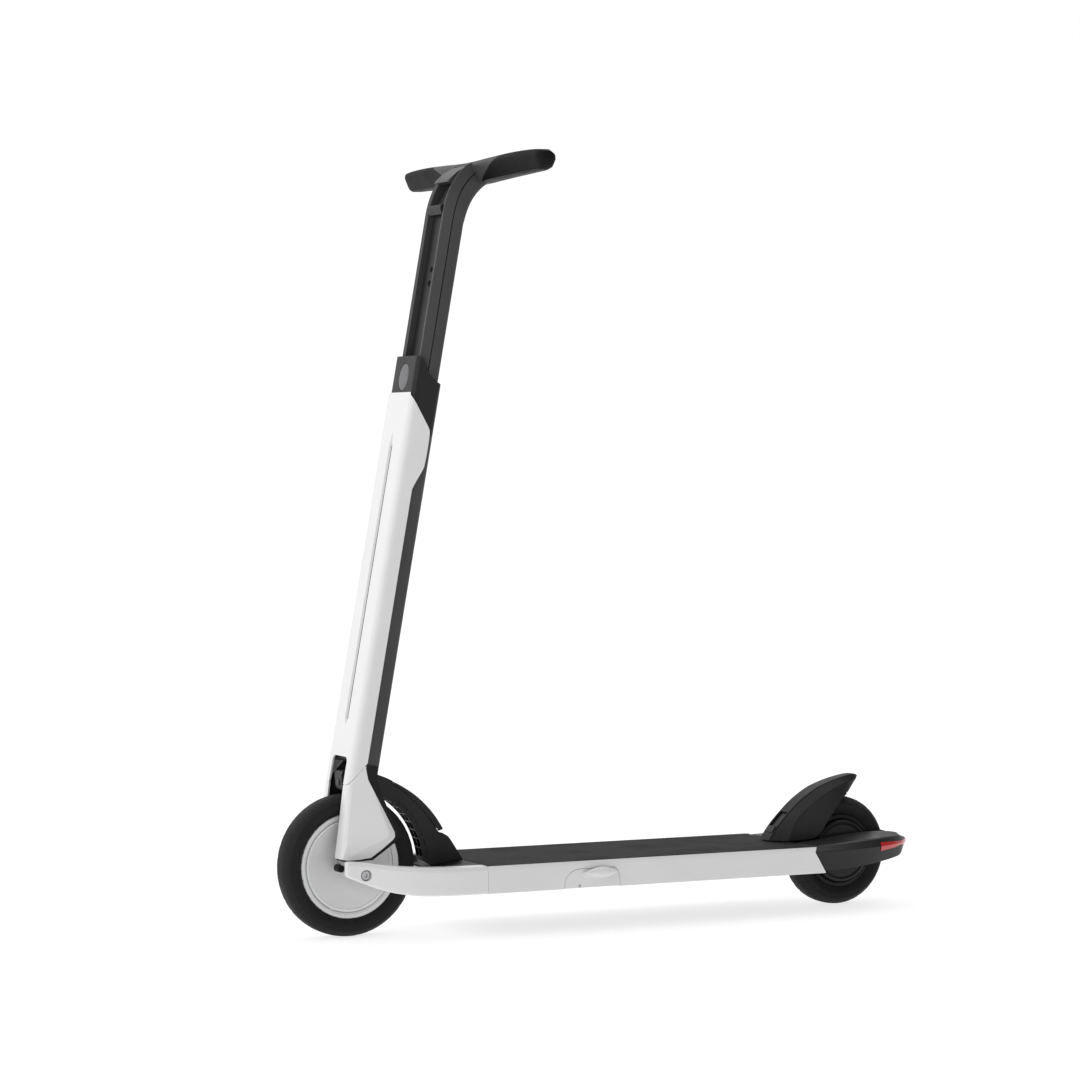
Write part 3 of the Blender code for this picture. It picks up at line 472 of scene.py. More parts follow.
def tyre_profile(radius, half, bead, bead_half):
    """Rounded tyre section with a fine crease at the shoulder."""
    side = [
        (radius, 0.0), (radius - 0.1, 5.0), (radius - 0.6, 9.5), (radius - 2.0, half - 8.4),
        (radius - 4.6, half - 4.4), (radius - 7.8, half - 1.5), (radius - 8.6, half - 1.1),
        (radius - 9.2, half - 1.3), (radius - 10.0, half - 0.5), (radius - 13.5, half),
        (radius - 18.0, half - 0.8), (radius - 21.5, half - 3.0), (bead + 1.2, bead_half + 0.7),
        (bead, bead_half - 0.4),
    ]
    return side + [(r, -y) for r, y in side[:0:-1]]


def mirrored(profile):
    """Close a (radius, y) profile with its mirror image."""
    return profile + tuple((r, -y) for r, y in profile[::-1])


def front_wheel():
    """Tyre, rim and two dished discs with a raised ring round the edge."""
    spot = Matrix.Translation(FRONT)
    profile = tyre_profile(FRONT_RADIUS, 21.8, 70.2, 15.6)
    stand_in("front_tyre", turned(profile, 360, tread), "tyre", spot, bevel=0)
    rim = mirrored(((69.9, 15.0), (69.0, 15.8), (66.5, 15.9), (64.0, 15.0), (62.4, 13.2), (62.2, 12.2)))
    stand_in("front_rim", turned(rim, 144), "silver", spot, bevel=0)
    for side, word in SIDES:
        dish = ((61.7, 10.0), (61.7, 13.2), (61.2, 13.9), (60.4, 14.1), (58.4, 13.9), (57.5, 13.5),
                (57.1, 12.6), (56.7, 13.0), (55.6, 12.9), (50.0, 11.2), (42.0, 9.3), (34.0, 7.9),
                (25.0, 6.5), (17.3, 5.5), (17.3, 4.0), (30.0, 4.5), (45.0, 7.5))
        mesh = turned([(r, side * y) for r, y in dish], 144)
        stand_in("front_disc_" + word, mesh, "silver", spot, bevel=0)


def front_bearing():
    ring = ((17.5, -3.8), (28.5, -3.8), (28.5, 3.8), (17.5, 3.8))
    stand_in("front_bearing", turned(ring, 96), "steel", Matrix.Translation(FRONT), bevel=0)


def knuckle():
    """Fixed hub cap that carries on the wheel's dish."""
    cap = mirrored(((0.01, 4.5), (9.0, 4.8), (17.0, 5.5), (17.2, 5.2)))
    stand_in("steering_knuckle", turned(cap, 96), "silver", Matrix.Translation(FRONT), bevel=0)


def rear_wheel():
    """Tyre, rim and two hub covers."""
    spot = Matrix.Translation(REAR)
    profile = tyre_profile(REAR_RADIUS, 20.2, 52.3, 16.0)
    stand_in("rear_tyre", turned(profile, 360, tread), "tyre", spot, bevel=0)
    rim = mirrored(((52.0, 15.3), (51.4, 17.2), (49.5, 18.0), (46.5, 18.2), (45.3, 17.4), (45.0, 14.0),
                    (43.4, 12.6)))
    stand_in("rear_rim", turned(rim, 120), "black_plastic", spot, bevel=0)
    for side, word in SIDES:
        cover = ((43.0, 12.8), (44.2, 15.0), (44.3, 20.0), (43.9, 22.4), (42.6, 24.0), (40.4, 24.8),
                 (38.8, 24.4), (37.8, 23.4), (37.0, 24.4), (35.8, 25.0), (17.0, 25.3), (16.4, 24.8),
                 (16.4, 21.0), (34.0, 18.0))
        mesh = turned([(r, side * y) for r, y in cover], 120)
        stand_in("rear_cover_" + word, mesh, "dark_shell", spot, bevel=0)


# ---------------------------------------------------------------- column

FRONT_FACE = 33.0
HALF = 42.0
COVER_WALL = 2.4
COVER_HEIGHTS = (80.0, 633.0)
GROOVE = (
    # height, half width, depth
    (182.0, 0.5, 0.1), (186.0, 2.2, 1.0), (193.0, 5.0, 6.2), (560.0, 5.0, 6.2), (572.0, 2.6, 2.4),
    (581.0, 0.5, 0.1),
)
# side view of the joint between the stem cover and the fork covers, which leaves a fine gap
SEAM_ABOVE = ((50.0, 81.2), (33.0, 105.9), (10.0, 138.7), (-10.0, 167.0))
SEAM_BELOW = ((50.0, 80.6), (33.0, 105.1), (10.0, 138.0), (-10.0, 166.4))


def column_section(rear, front, half, rear_round, front_round, steps=8):
    return rounded(rear, front, -half, half, (rear_round, front_round, front_round, rear_round), steps)


def stem_cover():
    """White shell with a raised wing at the top, a tapered groove in front and the window above the tyre."""
    outer = column_section(-4.0, FRONT_FACE, HALF, 0.0, 9.5, 10)
    shell = solid(prism(outer, *COVER_HEIGHTS, "z"))
    # hollow behind the wall, with a rib left in the middle to carry the groove
    inside, inner_half = FRONT_FACE - COVER_WALL, HALF - COVER_WALL
    room = column_section(-30.0, inside, inner_half, 0.0, 7.2, 10)
    cut(shell, prism(room, 60.0, 186.0, "z"), prism(room, 576.0, 700.0, "z"))
    for side in (-1, 1):
        part = [(u, v) for u, v in room if v * side > 0 and u > 0]
        part = [(-30.0, side * inner_half)] + sorted(part, key=lambda p: p[1] * side, reverse=True)
        part += [(inside, side * 7.5), (-30.0, side * 7.5)]
        cut(shell, prism(part, 100.0, 650.0, "z"))
    cut(shell, block((-40.0, 25.5), (-8.0, 8.0), (60.0, 700.0)))
    wing = ((10.5, 503.0), (9.2, 510.0), (-0.4, 534.0), (-1.9, 542.0), (-2.6, 560.0), (-2.2, 580.0),
            (-0.4, 588.5), (6.0, 597.0), (28.0, 624.0), (32.0, 630.0))
    rear_edge = [(10.5, 80.0)] + through(wing, 3) + [(36.0, 700.0), (-60.0, 700.0), (-60.0, 80.0)]
    seam = SEAM_ABOVE + ((-10.0, 60.0), (50.0, 60.0))
    cut(shell, prism(seam, -60.0, 60.0), prism(rear_edge, -60.0, 60.0))
    window = rounded(60.0, 142.0, -24.4, 24.4, (0.0, 7.0, 7.0, 0.0), 6)
    cut(shell, prism([(v, w) for w, v in window], 15.0, 45.0, "x"))
    rings = []
    for w, half, deep in GROOVE:
        floor = FRONT_FACE - deep
        rings.append([(FRONT_FACE + 1, -half - 0.8, w), (floor, -half * 0.22, w), (floor, half * 0.22, w),
                      (FRONT_FACE + 1, half + 0.8, w)])
    cut(shell, loft(rings))
    stand_in("stem_cover", shell, "white_shell", COLUMN, bevel=0.9)
    strip = block((26.2, 27.2), (-1.1, 1.1), (193.5, 559.0))
    stand_in("light_strip", strip, "black_plastic", COLUMN, bevel=0)


FORK_STATIONS = (
    # w, front u, ridge (u, v), crease (u, v), rear (u, v)
    (8.0, 27.6, (24.6, 44.6), (20.0, 44.2), (16.0, 43.6)),
    (11.0, 27.9, (24.8, 46.0), (18.5, 46.2), (1.0, 44.2)),
    (16.0, 28.2, (24.4, 47.2), (12.0, 48.4), (-15.0, 45.4)),
    (30.0, 28.9, (22.3, 46.6), (-8.0, 50.2), (-28.8, 46.8)),
    (43.0, 29.5, (20.3, 46.0), (-26.6, 51.9), (-40.6, 47.6)),
    (48.0, 29.7, (19.5, 45.8), (-32.0, 52.3), (-43.0, 47.8)),
    (54.0, 30.1, (18.6, 45.6), (-31.0, 51.8), (-41.4, 47.6)),
    (70.0, 31.0, (16.2, 44.9), (-22.0, 49.6), (-29.4, 46.6)),
    (90.0, 32.1, (13.2, 43.9), (-10.6, 46.7), (-14.2, 45.2)),
    (105.0, 32.9, (11.2, 43.0), (-2.0, 44.0), (-3.0, 43.6)),
    (117.0, 25.2, (11.6, 42.7), (8.0, 42.9), (6.0, 42.5)),
    (129.0, 17.0, (13.4, 42.3), (12.2, 42.3), (10.8, 42.2)),
    (133.6, 13.9, (13.2, 42.1), (12.8, 42.1), (12.2, 42.05)),
)
FORK_FRONT = ((0.12, 0.45), (0.5, 0.8), (1.0, 0.95))  # rounding from the front face to the ridge, as shares


def fork_cover(side, word):
    """White fork cover: rounded front, flat side facet and a slim rear bevel."""
    rings = []
    for w, front, ridge, crease, rear in FORK_STATIONS:
        span = min(6.0, (front - ridge[0]) * 0.8)
        # inner end and outer end of the front face, which narrows where the stem cover takes over
        lip, flat = (24.5, 33.0) if w < 106.0 else (39.7, 40.0)
        inside = front - COVER_WALL
        turn = [(front - step * span, flat + (ridge[1] - flat) * out) for step, out in FORK_FRONT]
        ring = [(inside, lip), (front, lip), (front, flat), *turn, ridge, crease, rear, (rear[0], 41.9),
                (min(front - 3.0, front - span), 41.9), (inside, flat)]
        rings.append([(u, side * v, w) for u, v in ring])
    cover = solid(loft(rings))
    cut(cover, prism(SEAM_BELOW + ((-10.0, 200.0), (50.0, 200.0)), -60.0, 60.0))
    stand_in("fork_cover_" + word, cover, "white_shell", COLUMN, bevel=0.7, sharp=7.0)


def fork_leg(side, word):
    """Dark leg behind the cover, a slim ear on the hub cap and the rounded tip below the cover."""
    outline = [(28.5, 102.0), (26.5, 66.0), (25.5, 24.0), (25.5, 6.2), (23.0, 5.6), (11.0, 5.9),
               (-19.5, 13.2), (-34.0, 27.0), (-48.0, 40.5), (-50.4, 45.0), (-50.2, 51.0), (-48.4, 55.6),
               (-33.0, 78.0), (-14.5, 104.0), (-8.0, 118.0), (-5.0, 136.0), (11.0, 136.0)]
    low, high = sorted((side * 25.1, side * 41.4))
    leg = solid(prism(outline, low, high))
    ear = block((-9.0, 5.0), sorted((side * 7.3, side * 27.0)), (11.0, 27.0))
    nub = block((-4.0, 4.0), sorted((side * 5.0, side * 9.0)), (10.0, 16.4))
    stub = prism(rounded(18.6, 27.6, -9.0, 0.8, (4.0, 4.0, 4.0, 4.0)), *sorted((side * 26.0, side * 40.6)))
    bridge = ((20.5, 29.0), (25.5, 29.0), (14.6, 5.2), (9.6, 5.2))
    fuse(leg, ear, nub, stub, prism([(u, side * v) for u, v in bridge], -7.0, 0.0, "z"))
    stand_in("fork_leg_" + word, leg, "black_plastic", COLUMN, bevel=0.8)


BUTTON_HEIGHT = 654.5


def ellipse(half_v, half_w):
    """Outline round the height button's middle, as (v, w)."""
    return [(half_v * cos(2 * pi * k / 48), BUTTON_HEIGHT + half_w * sin(2 * pi * k / 48)) for k in range(48)]


def collar():
    """Dark sleeve round the upper stem, its slanted top and the oval button in its front."""
    front, half = FRONT_FACE - 2.6, HALF - 2.8
    ring = solid(prism(column_section(-10.3, front, half, 8.0, 8.5), 581.0, 683.0, "z"))
    slope = through([(-20.0, 646.6), (-10.3, 650.5), (-2.0, 653.0), (5.0, 657.0), (12.0, 663.5),
                     (24.0, 678.0), (27.5, 682.6), (31.0, 684.0)], 3) + [(31.0, 720.0), (-20.0, 720.0)]
    cut(ring, prism(slope, -60.0, 60.0))
    cut(ring, prism(column_section(-7.4, 24.9, 37.4, 1.5, 1.5), 500.0, 720.0, "z"))
    cut(ring, prism(ellipse(15.4, 18.9), 20.0, 40.0, "x"))
    stand_in("collar", ring, "dark_shell", COLUMN, bevel=1.1)
    dome = ((26.2, 1.0), (29.6, 1.0), (30.4, 0.97), (30.9, 0.88), (31.2, 0.6), (31.3, 0.2))
    rings = [[(u, v, w) for v, w in ellipse(15.0 * scale, 18.5 * scale)] for u, scale in dome]
    stand_in("height_button", loft(rings), "button_grey", COLUMN, bevel=0)


# ---------------------------------------------------------------- upper stem and handlebar


def bar_point(back, up):
    """A point behind the front hub, at a height, in the steering frame's (u, w)."""
    rise = up - FRONT.z
    return rise * sin(LEAN) - back * cos(LEAN), rise * cos(LEAN) + back * sin(LEAN)


BAR = (
    # y, front edge and rear edge behind the hub, bottom, top
    (0.0, 171.0, 214.0, 1004.0, 1034.0),
    (30.0, 171.5, 214.0, 1004.5, 1034.6),
    (60.0, 172.5, 213.5, 1005.6, 1035.8),
    (90.0, 173.5, 213.0, 1006.6, 1036.8),
    (120.0, 174.5, 212.0, 1007.4, 1037.6),
    (150.0, 175.5, 211.0, 1008.0, 1037.9),
    (180.0, 177.0, 209.5, 1008.6, 1037.6),
    (202.0, 178.5, 208.0, 1009.2, 1036.8),
    (210.0, 179.5, 207.0, 1011.0, 1036.0),
    (216.0, 181.5, 205.0, 1016.0, 1035.0),
    (219.6, 185.0, 202.0, 1023.0, 1033.0),
)


# the bar's section, as shares of its depth from the front and of its height from the bottom
BAR_SECTION = (
    (0.16, 0.99), (0.05, 0.94), (0.0, 0.8), (0.01, 0.66), (0.17, 0.22), (0.24, 0.07), (0.36, 0.0),
    (0.7, 0.01), (0.88, 0.12), (1.0, 0.4), (0.98, 0.62), (0.86, 0.8), (0.62, 1.0),
)


def bar_ring(y, front, rear, low, high):
    ring = []
    for deep, tall in BAR_SECTION:
        u, w = bar_point(front + deep * (rear - front), low + tall * (high - low))
        ring.append((u, y, w))
    return ring


def bar_rings(side, start, stop):
    """Rings of one half of the bar between two distances from the middle."""
    rows = through(BAR, 4)
    return [bar_ring(side * row[0], *row[1:]) for row in rows if start <= row[0] <= stop]


STEM_HALF = (
    # half of the upper stem's section (u, v): rear corner, side, groove, broad chamfer, flange, channel wall
    (-7.0, 29.0), (-5.8, 32.0), (-3.4, 33.4), (4.0, 33.8), (11.2, 35.6), (11.7, 33.6), (12.7, 33.6),
    (13.1, 36.4), (24.2, 30.0), (24.5, 28.8), (23.0, 22.8), (14.6, 21.8),
)


def stem_rings():
    """The upper stem's section carried up the column and over into the neck."""
    stations = (
        # shift of the front edge and of the rear edge (u, w), and half width
        (0.0, 560.0, 0.0, 560.0, 37.0), (0.0, 868.0, 0.0, 868.0, 37.0), (-0.1, 886.0, -2.4, 885.0, 36.8),
        (-1.9, 903.0, -6.0, 899.0, 36.0), (-6.1, 919.0, -12.0, 912.0, 35.2),
        (-13.1, 934.0, -21.0, 924.5, 34.6), (-21.5, 946.0, -31.0, 933.0, 34.2),
        (-31.0, 953.5, -40.0, 938.0, 34.0),
    )
    rings = []
    rows = [stations[0]] + through(stations[1:], 3)
    for front, front_w, rear, rear_w, half in rows:
        ring = []
        for u, v in STEM_HALF:
            t = (u + 7.0) / 31.5
            ring.append((u + rear + (front - rear) * t, v * half / 37.0, rear_w + (front_w - rear_w) * t))
        rings.append(ring + [(u, -v, w) for u, v, w in ring[::-1]])
    return rings


CHANNEL_HOLES = (785.0, 804.0)
HOOK_POCKET = (
    # side view of the opening for the hook
    (40.0, 873.8), (40.0, 920.0), (16.0, 920.5), (3.0, 920.5), (8.0, 905.0), (12.9, 890.0), (12.9, 873.8),
)
POWER_PLACE = Matrix.Translation((-24.0, 0.0, 948.5)) @ Matrix.Rotation(LEAN, 4, "Y")
CAP_START = 30.0  # distance from the middle to where a cap and a grip begin
LEVER_Y = 92.0
LUGS = (-17.4, 13.4)  # inner faces of a lever's two lugs, from LEVER_Y
LUG_WIDTH = 4.0


def channel_shade_plate():
    """Dark plate in the upper stem's channel, painted shade for the shadow on the channel's floor."""
    shade_plate = solid(block((14.4, 15.4), (-21.3, 21.3), (600.0, 873.0)))
    for w in CHANNEL_HOLES:
        cut(shade_plate, disc((0.0, w), 4.1, 8.0, 20.0, "x", 32))
    # the plate's dark look paints the shade that falls on the channel's floor
    finish("channel_shade_plate", shade_plate, "dark_shell", "handlebar", (), COLUMN, bevel=0)


def channel_fill():
    """Closes the stem's channel above the hook, where the neck turns into the bar."""
    return prism(((12.0, 921.5), (22.0, 921.5), (20.5, 925.5), (11.0, 937.5), (-1.0, 947.5), (-12.0, 950.5),
                  (-12.0, 930.0)), -23.0, 23.0)


def lug_outline():
    """Side view of the lugs that carry a lever under the bar's rear edge."""
    u, w = bar_point(217.0, 1021.0)
    return ((u - 3.6, w - 1.5), (u - 1.5, w - 3.6), (u + 14.0, w - 5.4), (u + 15.0, w + 5.7),
            (u - 1.5, w + 3.6), (u - 3.6, w + 1.5))


def handlebar():
    """Upper stem, neck and bar middle as one piece, with a through channel and the hook's pocket."""
    body = solid(loft(stem_rings()))
    for w in CHANNEL_HOLES:
        cut(body, disc((0.0, w), 4.3, 8.0, 20.0, "x", 32))
    cut(body, prism(HOOK_POCKET, -21.4, 21.4))
    fuse(body, channel_fill())
    fuse(body, loft(bar_rings(-1, 0.0, CAP_START)[::-1] + bar_rings(1, 0.1, CAP_START)))
    cut(body, solid(disc((0.0, 0.0), 8.4, 0.0, 12.0, "z"), POWER_PLACE))
    finish("handlebar_head_shape", body, "dark_paint", "handlebar", ("upper_stem", "handlebar_head"), COLUMN,
           bevel=0.6, sharp=20.0)
    # dark plate in the channel as painted shade
    channel_shade_plate()
    for side, word in SIDES:
        bar_half(side, word)


def bar_half(side, word):
    """A cap and a grip, parted by a long slanted seam; the grip carries the lever's lugs."""
    cap = solid(loft(bar_rings(side, CAP_START, 120.0)))
    grip = solid(loft(bar_rings(side, CAP_START, 220.0)))
    low, high = bar_point(176.0, 995.0)[1], bar_point(176.0, 1045.0)[1]
    seam = [(side * 6.0, low), (side * 130.0, high)]
    cut(cap, prism(seam + [(side * 160.0, high), (side * 160.0, low)], -90.0, 20.0, "x"))
    cut(grip, prism(seam + [(0.0, high), (0.0, low)], -90.0, 20.0, "x"))
    finish("bar_cap_" + word, cap, "dark_paint", "handlebar", (), COLUMN, bevel=0.4, sharp=30.0)
    for shift in LUGS:
        start = LEVER_Y + shift
        fuse(grip, prism(lug_outline(), *sorted((side * start, side * (start + LUG_WIDTH)))))
    stand_in("grip_" + word, grip, "rubber", COLUMN, bevel=0.5, sharp=30.0)


def controls():
    """Domed power button and the two thumb levers."""
    profile = ((0.01, 4.0), (7.9, 4.0), (7.9, 8.6), (7.4, 9.3), (6.4, 9.6), (5.6, 9.3), (3.0, 9.0),
               (0.01, 8.9))
    place = COLUMN @ POWER_PLACE @ Matrix.Rotation(pi / 2, 4, "X")
    stand_in("power_button", turned(profile, 64), "black_plastic", place, bevel=0)
    rounded_node("throttle", 0.9)
    rounded_node("brake_lever", 0.9)


# ---------------------------------------------------------------- yoke, fold arc and deck


ARM = (
    # behind the hub, inner y, outer y, bottom, top, shoulder height
    (-26.5, 59.5, 66.6, 88.6, 103.4, 100.4),
    (-23.0, 58.2, 69.0, 85.8, 106.6, 102.2),
    (0.0, 58.2, 70.5, 76.0, 104.5, 99.3),
    (30.0, 62.5, 78.5, 65.4, 100.0, 94.6),
    (67.0, 70.0, 89.0, 59.2, 96.6, 91.2),
    (110.0, 75.0, 95.5, 57.6, 94.8, 89.4),
    (164.0, 76.3, 97.5, 57.4, 94.3, 89.0),
)


def arm(side, word):
    """Yoke arm beside the front wheel, with a seat and a hole for its pivot bolt."""
    rings = []
    for behind, inner, outer, bottom, top, shoulder in through(ARM, 4):
        edge = min(2.6, (outer - inner) / 4)
        ring = ((inner, bottom + 1.2), (inner + 1.5, bottom), (outer - 3.0, bottom),
                (outer - 0.5, bottom + 2.2), (outer, bottom + 6.0), (outer, shoulder), (outer - edge, top),
                (inner, top))
        rings.append([(back(behind), side * y, z) for y, z in ring])
    body = solid(loft(rings))
    pivot = (FRONT.x, FOLD_Z)
    cut(body, disc(pivot, 7.5, *sorted((side * 64.5, side * 80.0))))
    cut(body, disc(pivot, 4.3, *sorted((side * 50.0, side * 80.0)), segments=24))
    stand_in("arm_" + word, body, "white_paint", bevel=0.8, sharp=24.0)


def around_fold(radius, angle):
    """A point (x, z) at a radius and an angle in degrees above the rear, about the fold axis."""
    return back(radius * cos(radians(angle))), FOLD_Z + radius * sin(radians(angle))


def arc_line(radius_at, start, stop, steps):
    angles = [start + (stop - start) * k / steps for k in range(steps + 1)]
    return [around_fold(radius_at(angle), angle) for angle in angles]


def arc_cell(inner, outer, start, stop):
    """Outline of one pocket between two radii and two angles."""
    return arc_line(lambda angle: inner, start, stop, 3) + arc_line(lambda angle: outer, stop, start, 3)


def arc_outer(angle):
    """Radius of the pedal's top."""
    return 133.0 if angle >= 60.0 else 133.0 + 12.5 * ((60.0 - angle) / 40.0) ** 1.3


def arc_seam(angle):
    """Radius of the joint between the guide and the pedal on it."""
    return 129.3 if angle >= 45.0 else 129.3 + 8.2 * ((45.0 - angle) / 25.0) ** 1.8


def fold_arc():
    """Curved guide with a ribbed underside; its nose looks out of the window."""
    outline = arc_line(lambda angle: 108.0, 4.0, 94.0, 30)
    outline += [around_fold(112.0, 95.0), around_fold(128.0, 95.0)]
    outline += arc_line(arc_outer, 94.0, 61.5, 12)
    outline += arc_line(arc_seam, 61.5, 19.5, 16)
    foot = ((130.8, 133.4), (136.0, 132.0), (144.1, 127.3), (148.5, 121.7), (166.0, 94.9), (159.0, 94.9),
            (119.0, 87.0))
    outline += [(back(b), z) for b, z in foot]
    arc = solid(prism(outline, -12.0, 12.0))
    for k in range(12):
        start = 7.0 + 7.0 * k
        pocket = arc_cell(106.0, 116.0, start, start + 5.9)
        for low, high in ((-10.6, -0.7), (0.7, 10.6)):
            cut(arc, prism(pocket, low, high))
        if k < 7:  # these also show as shallow pockets in the sides, a little taller each
            side_pocket = arc_cell(110.0, 115.0 + 0.05 * k, start + 0.6, start + 5.3)
            for low, high in ((10.9, 13.0), (-13.0, -10.9)):
                cut(arc, prism(side_pocket, low, high))
    latch_z = FOLD_Z + 118.0
    cut(arc, block((FRONT.x - 30.0, FRONT.x + 20.0), (-4.3, 4.3), (latch_z - 4.3, latch_z + 4.3)))
    stand_in("fold_arc", arc, "dark_shell", bevel=0.5)


def fold_pedal():
    """Release pedal, a hood over the guide that grows taller towards its foot."""
    half, inner, steps = 14.0, 12.35, 18
    rings = []
    for k in range(steps + 1):
        angle = 60.0 - 40.0 * k / steps
        seam, top = arc_seam(angle) + 0.3, arc_outer(angle)
        under = min(seam + 4.4 * k / steps + 0.4, top - 2.0)
        profile = ((top - 1.4, -half), (top - 0.3, -half + 1.6), (top, -half + 4.0), (top, half - 4.0),
                   (top - 0.3, half - 1.6), (top - 1.4, half), (seam, half), (seam, inner), (under, inner),
                   (under, -inner), (seam, -inner), (seam, -half))
        points = [(around_fold(radius, angle), y) for radius, y in profile]
        rings.append([(x, y, z) for (x, z), y in points])
    stand_in("fold_pedal", loft(rings), "dark_shell", bevel=0.4, sharp=24.0)


def kickstand():
    """The CAD leg with a smooth lens-shaped toe tab on its outer face."""
    rounded_node("kickstand_leg", 0.5)
    face = high_of("kickstand_leg").y
    middle_x, middle_z, length, height = back(330.5), 78.6, 25.0, 7.6
    rings = []
    for share in (0.0, 0.25, 0.5, 0.72, 0.9, 0.985):
        ring = []
        for k in range(48):
            angle = 2 * pi * k / 48
            reach = (1.0 - share ** 2) ** 0.5
            ring.append((middle_x + length * reach * cos(angle), face - 1.0 + 5.4 * share,
                         middle_z + height * reach * sin(angle) * (1.0 - 0.35 * abs(cos(angle)))))
        rings.append(ring)
    finish("kickstand_tab", loft(rings), "white_paint", BODY_OF["kickstand_leg"], bevel=0)


def simple_nodes():
    """CAD shapes that only need rounded edges."""
    for node, width in (
        ("rail_left", 0.6), ("rail_right", 0.6), ("deck_tray", 0.5), ("bottom_cover", 0.4),
        ("nose_plate", 0.5), ("yoke_bridge", 0.8), ("stem_tube", 0.8), ("head_block", 0.5), ("bag_hook", 0.7),
        ("charge_cap", 0.4), ("rear_fork", 0.5), ("pivot_bolt_left", 0.5), ("pivot_bolt_right", 0.5),
    ):
        rounded_node(node, width)
    rounded_node("latch_bolt", 0.4, look="dark_steel")


def deck_mat():
    """Mat with its grit, carried on over the tail's step to the fender."""
    low, high = low_of("deck_mat"), high_of("deck_mat")
    outline = rounded(back(664.5), high.x, low.y, high.y, (1.0, 1.0, 1.0, 1.0), 4)
    sheet = prism(outline, high.z - 0.8, high.z + 0.2, "z")
    stand_in("deck_mat", sheet, "mat", bevel=0.3)


# ---------------------------------------------------------------- rear end

TAIL = (
    # behind the hub, outer y, bottom, crease, top of the side band, top, top at the inner edge
    (660.0, 97.0, 59.6, 86.6, 92.6, 93.6, 93.6),
    (700.0, 95.0, 58.4, 86.8, 94.4, 95.6, 97.0),
    (740.0, 89.6, 59.6, 87.0, 96.0, 97.6, 102.4),
    (780.0, 79.0, 62.6, 87.2, 97.0, 98.8, 104.6),
    (815.0, 63.6, 66.0, 87.4, 97.0, 98.6, 104.4),
    (838.0, 49.4, 70.0, 87.6, 95.4, 96.6, 101.0),
    (852.0, 36.0, 75.6, 87.8, 92.8, 93.8, 96.4),
    (862.0, 22.0, 80.4, 88.0, 90.8, 91.6, 92.8),
    (867.6, 9.0, 84.4, 88.0, 89.4, 90.0, 90.4),
)


def tail_shell(side, word):
    """One side of the tail, a creased band that closes behind the rear wheel."""
    rings = []
    for behind, outer, bottom, crease, band, top, inner_top in through(TAIL, 5):
        inner = max(0.2, 39.0 - max(0.0, behind - 836.0) * 2.2)
        room = outer - inner
        ring = ((inner, bottom), (outer - 0.35 * room, bottom), (outer - 0.2 * room, bottom + 1.0),
                (outer, crease), (outer - 0.01 * room, crease + 0.8), (outer - 0.14 * room, band),
                (outer - 0.2 * room, top), (inner, inner_top))
        rings.append([(back(behind), side * y, z) for y, z in ring])
    body = solid(loft(rings))
    front = ((695.7, 40.0), (667.5, 87.0), (680.7, 120.0), (640.0, 120.0), (640.0, 40.0))
    cut(body, prism([(back(b), z) for b, z in front], -110.0, 110.0))
    cut(body, disc((REAR.x, REAR.z), 6.4, *sorted((side * 30.0, side * 60.0)), segments=32))
    stand_in("tail_shell_" + word, body, "dark_shell", bevel=0.5, sharp=9.0)


def tail_lens():
    """Pointed red lens on the crease of the left shell."""
    rows = [row for row in through(TAIL, 5) if row[0] >= 782.0]
    start, stop = rows[0][0], rows[-1][0]
    rings = []
    for behind, outer, _, crease, *_ in rows:
        t = (behind - start) / (stop - start)
        low, high = 80.4 + 4.6 * t, 92.6 - 3.0 * t
        sunk = outer - 2.4 + 1.2 * t
        ring = ((sunk, low), (outer - 0.5 - (crease - low) * 0.12, low), (outer + 0.7, crease),
                (outer + 0.1 - (high - crease) * 0.3, high), (sunk - 1.6 * (1 - t), high))
        rings.append([(back(behind), y, z) for y, z in ring])
    stand_in("tail_lens", loft(rings), "red_lens", bevel=0.2, sharp=12.0)


FIN = (
    # top, crease and lower edge, each (behind the hub, height, half width)
    ((641.0, 96.4, 13.0), (662.4, 96.2, 29.8), (666.0, 96.2, 29.8)),
    ((652.0, 112.0, 13.0), (668.4, 109.0, 29.8), (690.0, 97.0, 29.8)),
    ((664.5, 126.0, 13.0), (674.5, 122.0, 29.6), (706.0, 98.6, 29.8)),
    ((684.5, 145.0, 13.0), (689.0, 136.5, 28.8), (716.0, 105.0, 29.8)),
    ((701.3, 157.4, 13.0), (706.5, 148.6, 28.0), (725.0, 118.0, 29.8)),
    ((720.0, 168.2, 13.0), (724.5, 159.8, 26.5), (735.0, 131.0, 29.4)),
    ((741.0, 176.0, 12.5), (744.5, 168.0, 23.5), (745.0, 143.0, 28.0)),
    ((757.0, 180.4, 11.5), (760.0, 173.0, 20.0), (754.0, 151.5, 26.0)),
    ((773.0, 183.8, 10.0), (774.5, 177.0, 15.5), (763.0, 158.0, 22.0)),
    ((784.0, 184.6, 7.5), (784.0, 179.0, 11.0), (772.0, 164.5, 16.0)),
    ((790.5, 182.8, 4.5), (788.5, 179.0, 7.0), (781.0, 171.5, 10.0)),
)


def fin_rings(profile):
    """Carry a half profile along the fin; profile gives (behind, height, y) points from a row of FIN."""
    rings = []
    for row in through([sum(row, ()) for row in FIN], 4):
        top, crease, low = Vector(row[0:3]), Vector(row[3:6]), Vector(row[6:9])
        inward = Vector((crease.x - top.x, crease.y - top.y, 0.0)).normalized()
        half = [(back(p.x), p.z, p.y) for p in profile(top, crease, low, inward)]
        rings.append(half + [(x, -y, z) for x, y, z in half[::-1]])
    return rings


WIDE = Vector((0.0, 0.0, 1.0))


def at_middle(point):
    return Vector((point.x, point.y, 0.2))


